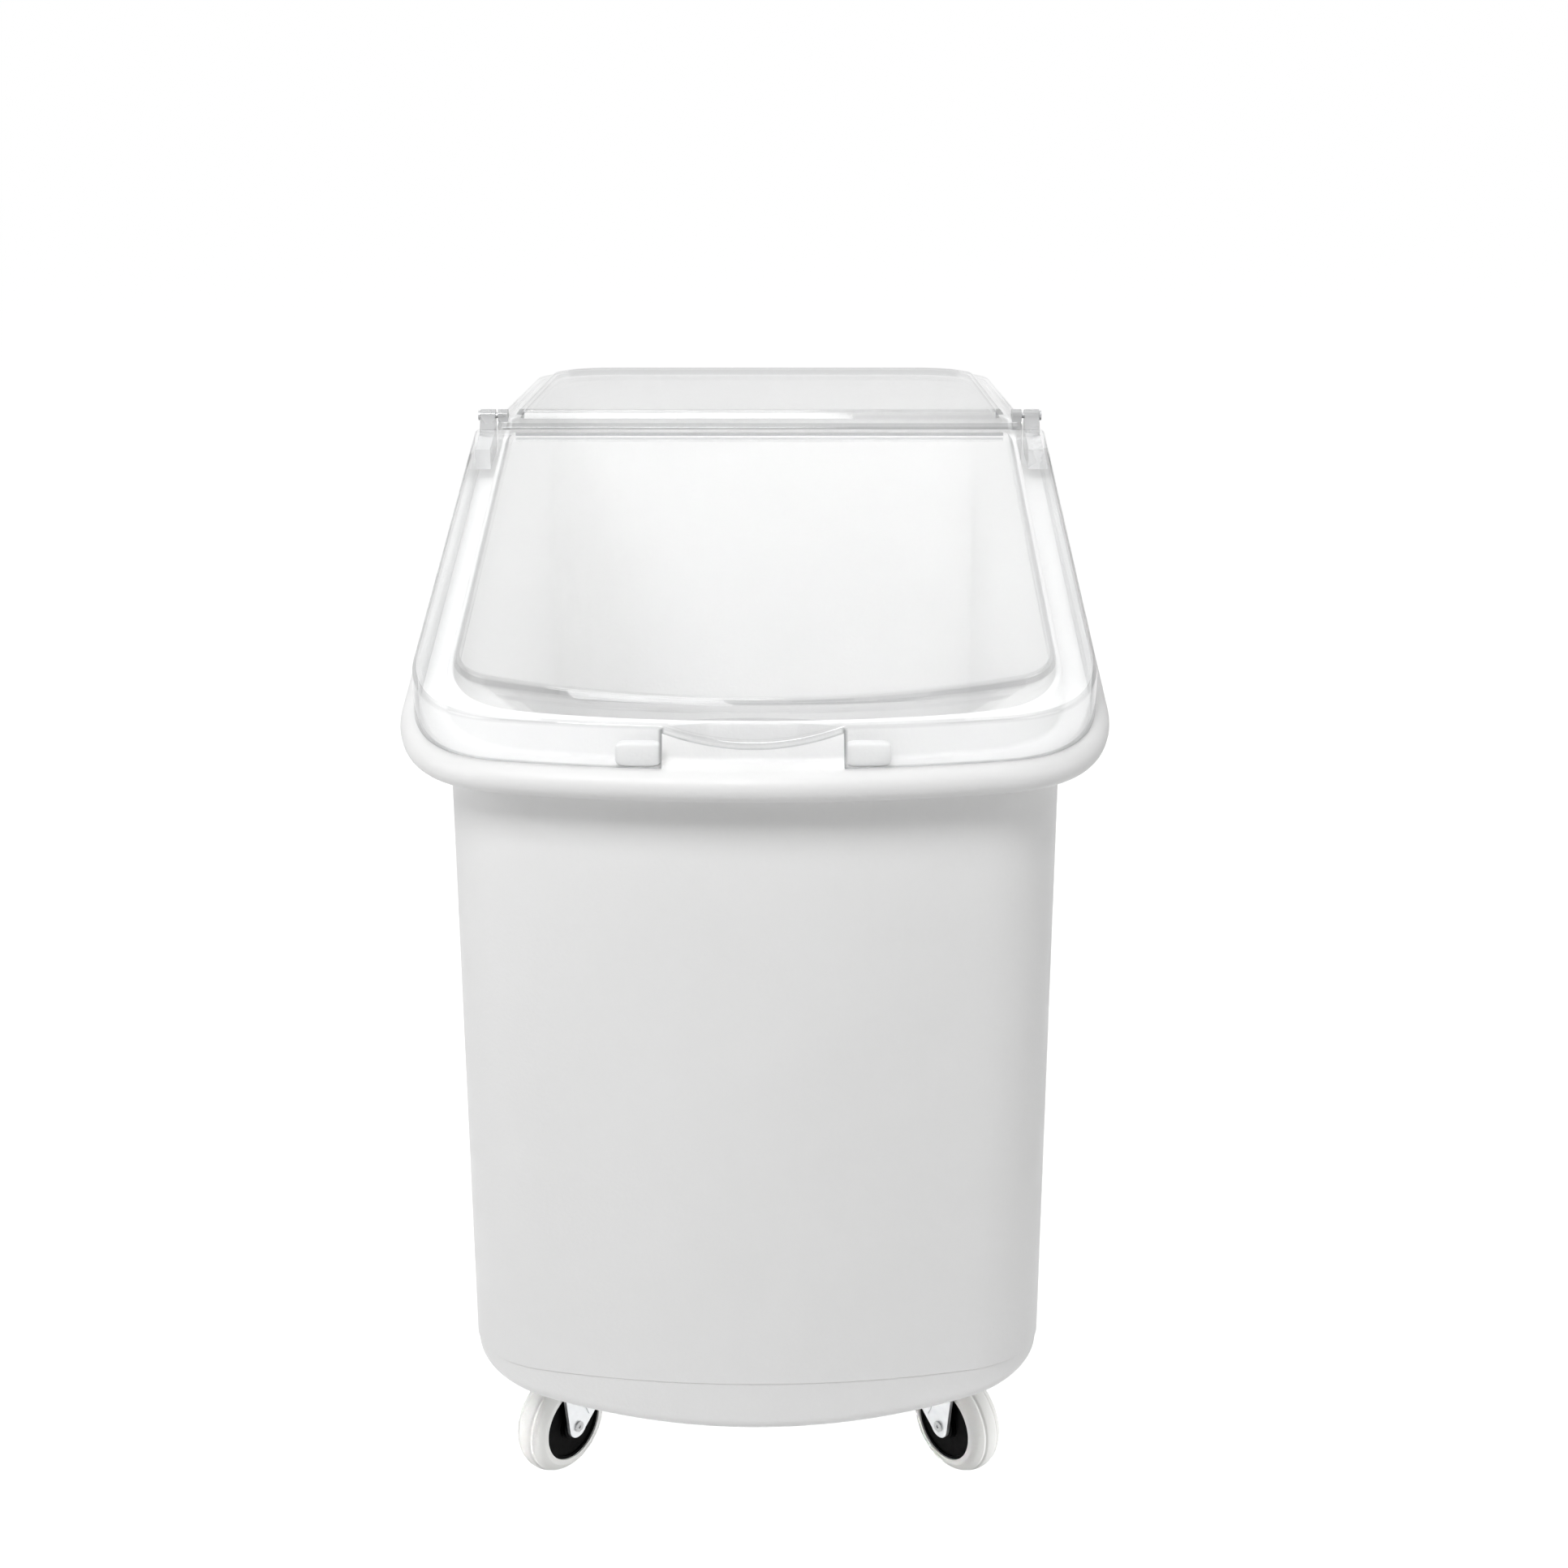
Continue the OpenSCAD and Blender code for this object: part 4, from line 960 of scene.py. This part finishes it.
class FLOURBIN_OT_casters(bpy.types.Operator):
    """Finishes the steel pieces and the black hubs of the casters"""
    bl_idname = "flourbin.casters"
    bl_label = "Casters"

    def execute(self, context):
        dress("caster_bolts", finish(context, "zinc_plate"))
        for name in CASTERS:
            for piece in ("plate", "fork"):
                dress(f"{name}_{piece}", finish(context, "zinc_plate"))
            for piece in ("kingpin", "balls", "axle", "axle_nut", "bush"):
                dress(f"{name}_{piece}", finish(context, "turned_steel"))
            dress(f"{name}_hub", finish(context, "black_nylon"))
        return {"FINISHED"}


def add_lamp(lamp, aim, power, spread=math.pi):
    """Puts up a rectangular area lamp that looks at a point, its light kept within an angle."""
    data = bpy.data.lights.new(lamp.name, "AREA")
    data.shape = "RECTANGLE"
    data.size, data.size_y = lamp.size
    data.energy = lamp.watts * power
    data.spread = spread
    light = bpy.data.objects.new(lamp.name, data)
    bpy.context.scene.collection.objects.link(light)
    light.location = lamp.place
    back = np.array(lamp.place) - np.array(aim)
    tilt = math.atan2(math.hypot(back[0], back[1]), back[2])
    light.rotation_euler = (tilt, 0, math.atan2(back[0], -back[1]))


def seen_directly(tree):
    """1 for camera, glossy and transmission rays, 0 for the rays that light the object."""
    path = tree.nodes.new("ShaderNodeLightPath")
    either, any_of = (tree.nodes.new("ShaderNodeMath") for _ in range(2))
    either.operation = any_of.operation = "MAXIMUM"
    tree.links.new(path.outputs["Is Camera Ray"], either.inputs[0])
    tree.links.new(path.outputs["Is Glossy Ray"], either.inputs[1])
    tree.links.new(either.outputs[0], any_of.inputs[0])
    tree.links.new(path.outputs["Is Transmission Ray"], any_of.inputs[1])
    return any_of.outputs[0]


def white_world(strength):
    """A world that looks white and lights the object evenly with that strength."""
    world = bpy.data.worlds.new("studio")
    world.use_nodes = True
    tree = world.node_tree
    background = tree.nodes["Background"]
    background.inputs["Color"].default_value = (1, 1, 1, 1)
    level = tree.nodes.new("ShaderNodeMapRange")
    level.inputs["To Min"].default_value = strength
    level.inputs["To Max"].default_value = 1
    tree.links.new(seen_directly(tree), level.inputs["Value"])
    tree.links.new(level.outputs["Result"], background.inputs["Strength"])
    return world


def floor_finish(world_strength):
    """Pale floor: it keeps the object's shadow, and where only the even light falls it looks white."""
    material, tree, bsdf = shader("studio_floor")
    bsdf.inputs["Base Color"].default_value = (FLOOR_TONE, FLOOR_TONE, FLOOR_TONE, 1)
    bsdf.inputs["Roughness"].default_value = 0.9
    bsdf.inputs["Specular IOR Level"].default_value = 0
    bsdf.inputs["Emission Color"].default_value = (1, 1, 1, 1)
    lift = tree.nodes.new("ShaderNodeMath")
    lift.operation = "MULTIPLY"
    lift.inputs[1].default_value = 1 - FLOOR_TONE * world_strength
    tree.links.new(seen_directly(tree), lift.inputs[0])
    tree.links.new(lift.outputs[0], bsdf.inputs["Emission Strength"])
    return material


class FLOURBIN_OT_stage(bpy.types.Operator):
    """Builds the floor, the light and the camera"""
    bl_idname = "flourbin.stage"
    bl_label = "Stage"

    def execute(self, context):
        settings = context.scene.flour_bin_stage
        scene = context.scene
        scene.view_settings.view_transform = "Standard"
        scene.world = white_world(settings.world_strength)
        half = settings.floor_size / 2
        mesh = bpy.data.meshes.new("floor")
        corners = [(-half, -half, 0), (half, -half, 0), (half, half, 0), (-half, half, 0)]
        mesh.from_pydata(corners, [], [(0, 1, 2, 3)])
        mesh.materials.append(floor_finish(settings.world_strength))
        floor = bpy.data.objects.new("floor", mesh)
        scene.collection.objects.link(floor)
        for lamp in LAMPS:
            add_lamp(lamp, LAMP_AIM, settings.lamp_power)
        for lamp in WHEEL_LAMPS:
            x, y, z = WHEEL_AIM
            add_lamp(lamp, (math.copysign(x, lamp.place[0]), y, z), settings.lamp_power, WHEEL_SPREAD)
        data = bpy.data.cameras.new("camera")
        data.sensor_width = SENSOR_WIDTH
        data.lens = settings.focal_pixels / IMAGE_PIXELS * SENSOR_WIDTH
        camera = bpy.data.objects.new("camera", data)
        scene.collection.objects.link(camera)
        camera.location = (settings.camera_x, settings.camera_y, settings.camera_z)
        camera.rotation_euler = (math.pi / 2 - settings.camera_pitch, 0, 0)
        scene.camera = camera
        return {"FINISHED"}


class FLOURBIN_PT_panel(bpy.types.Panel):
    """Lists the pieces of the flour bin"""
    bl_label = "Flour bin"
    bl_idname = "FLOURBIN_PT_panel"
    bl_space_type = "VIEW_3D"
    bl_region_type = "UI"
    bl_category = "Flour bin"

    def draw(self, context):
        for operator in OPERATORS:
            self.layout.operator(operator.bl_idname)
        for group in SETTINGS:
            box = self.layout.box()
            for name in SETTINGS[group].__annotations__:
                box.prop(getattr(context.scene, group), name)


SETTINGS = {
    "flour_bin_tub": TubSettings,
    "flour_bin_lid": LidSettings,
    "flour_bin_stop": StopSettings,
    "flour_bin_caster": CasterSettings,
    "flour_bin_finish": FinishSettings,
    "flour_bin_stage": StageSettings,
}
OPERATORS = (
    FLOURBIN_OT_tub,
    FLOURBIN_OT_stops,
    FLOURBIN_OT_front_lid,
    FLOURBIN_OT_rear_lid,
    FLOURBIN_OT_hinge,
    FLOURBIN_OT_tyres,
    FLOURBIN_OT_casters,
    FLOURBIN_OT_stage,
)


def register():
    """Registers the settings, the operators and the panel."""
    for group, settings in SETTINGS.items():
        bpy.utils.register_class(settings)
        setattr(bpy.types.Scene, group, bpy.props.PointerProperty(type=settings))
    for operator in OPERATORS:
        bpy.utils.register_class(operator)
    bpy.utils.register_class(FLOURBIN_PT_panel)


def unregister():
    """Takes back what register() did."""
    bpy.utils.unregister_class(FLOURBIN_PT_panel)
    for operator in reversed(OPERATORS):
        bpy.utils.unregister_class(operator)
    for group, settings in SETTINGS.items():
        delattr(bpy.types.Scene, group)
        bpy.utils.unregister_class(settings)


def main():
    """Builds every piece in order."""
    register()
    for operator in OPERATORS:
        group, name = operator.bl_idname.split(".")
        getattr(getattr(bpy.ops, group), name)()


if __name__ == "__main__":
    main()
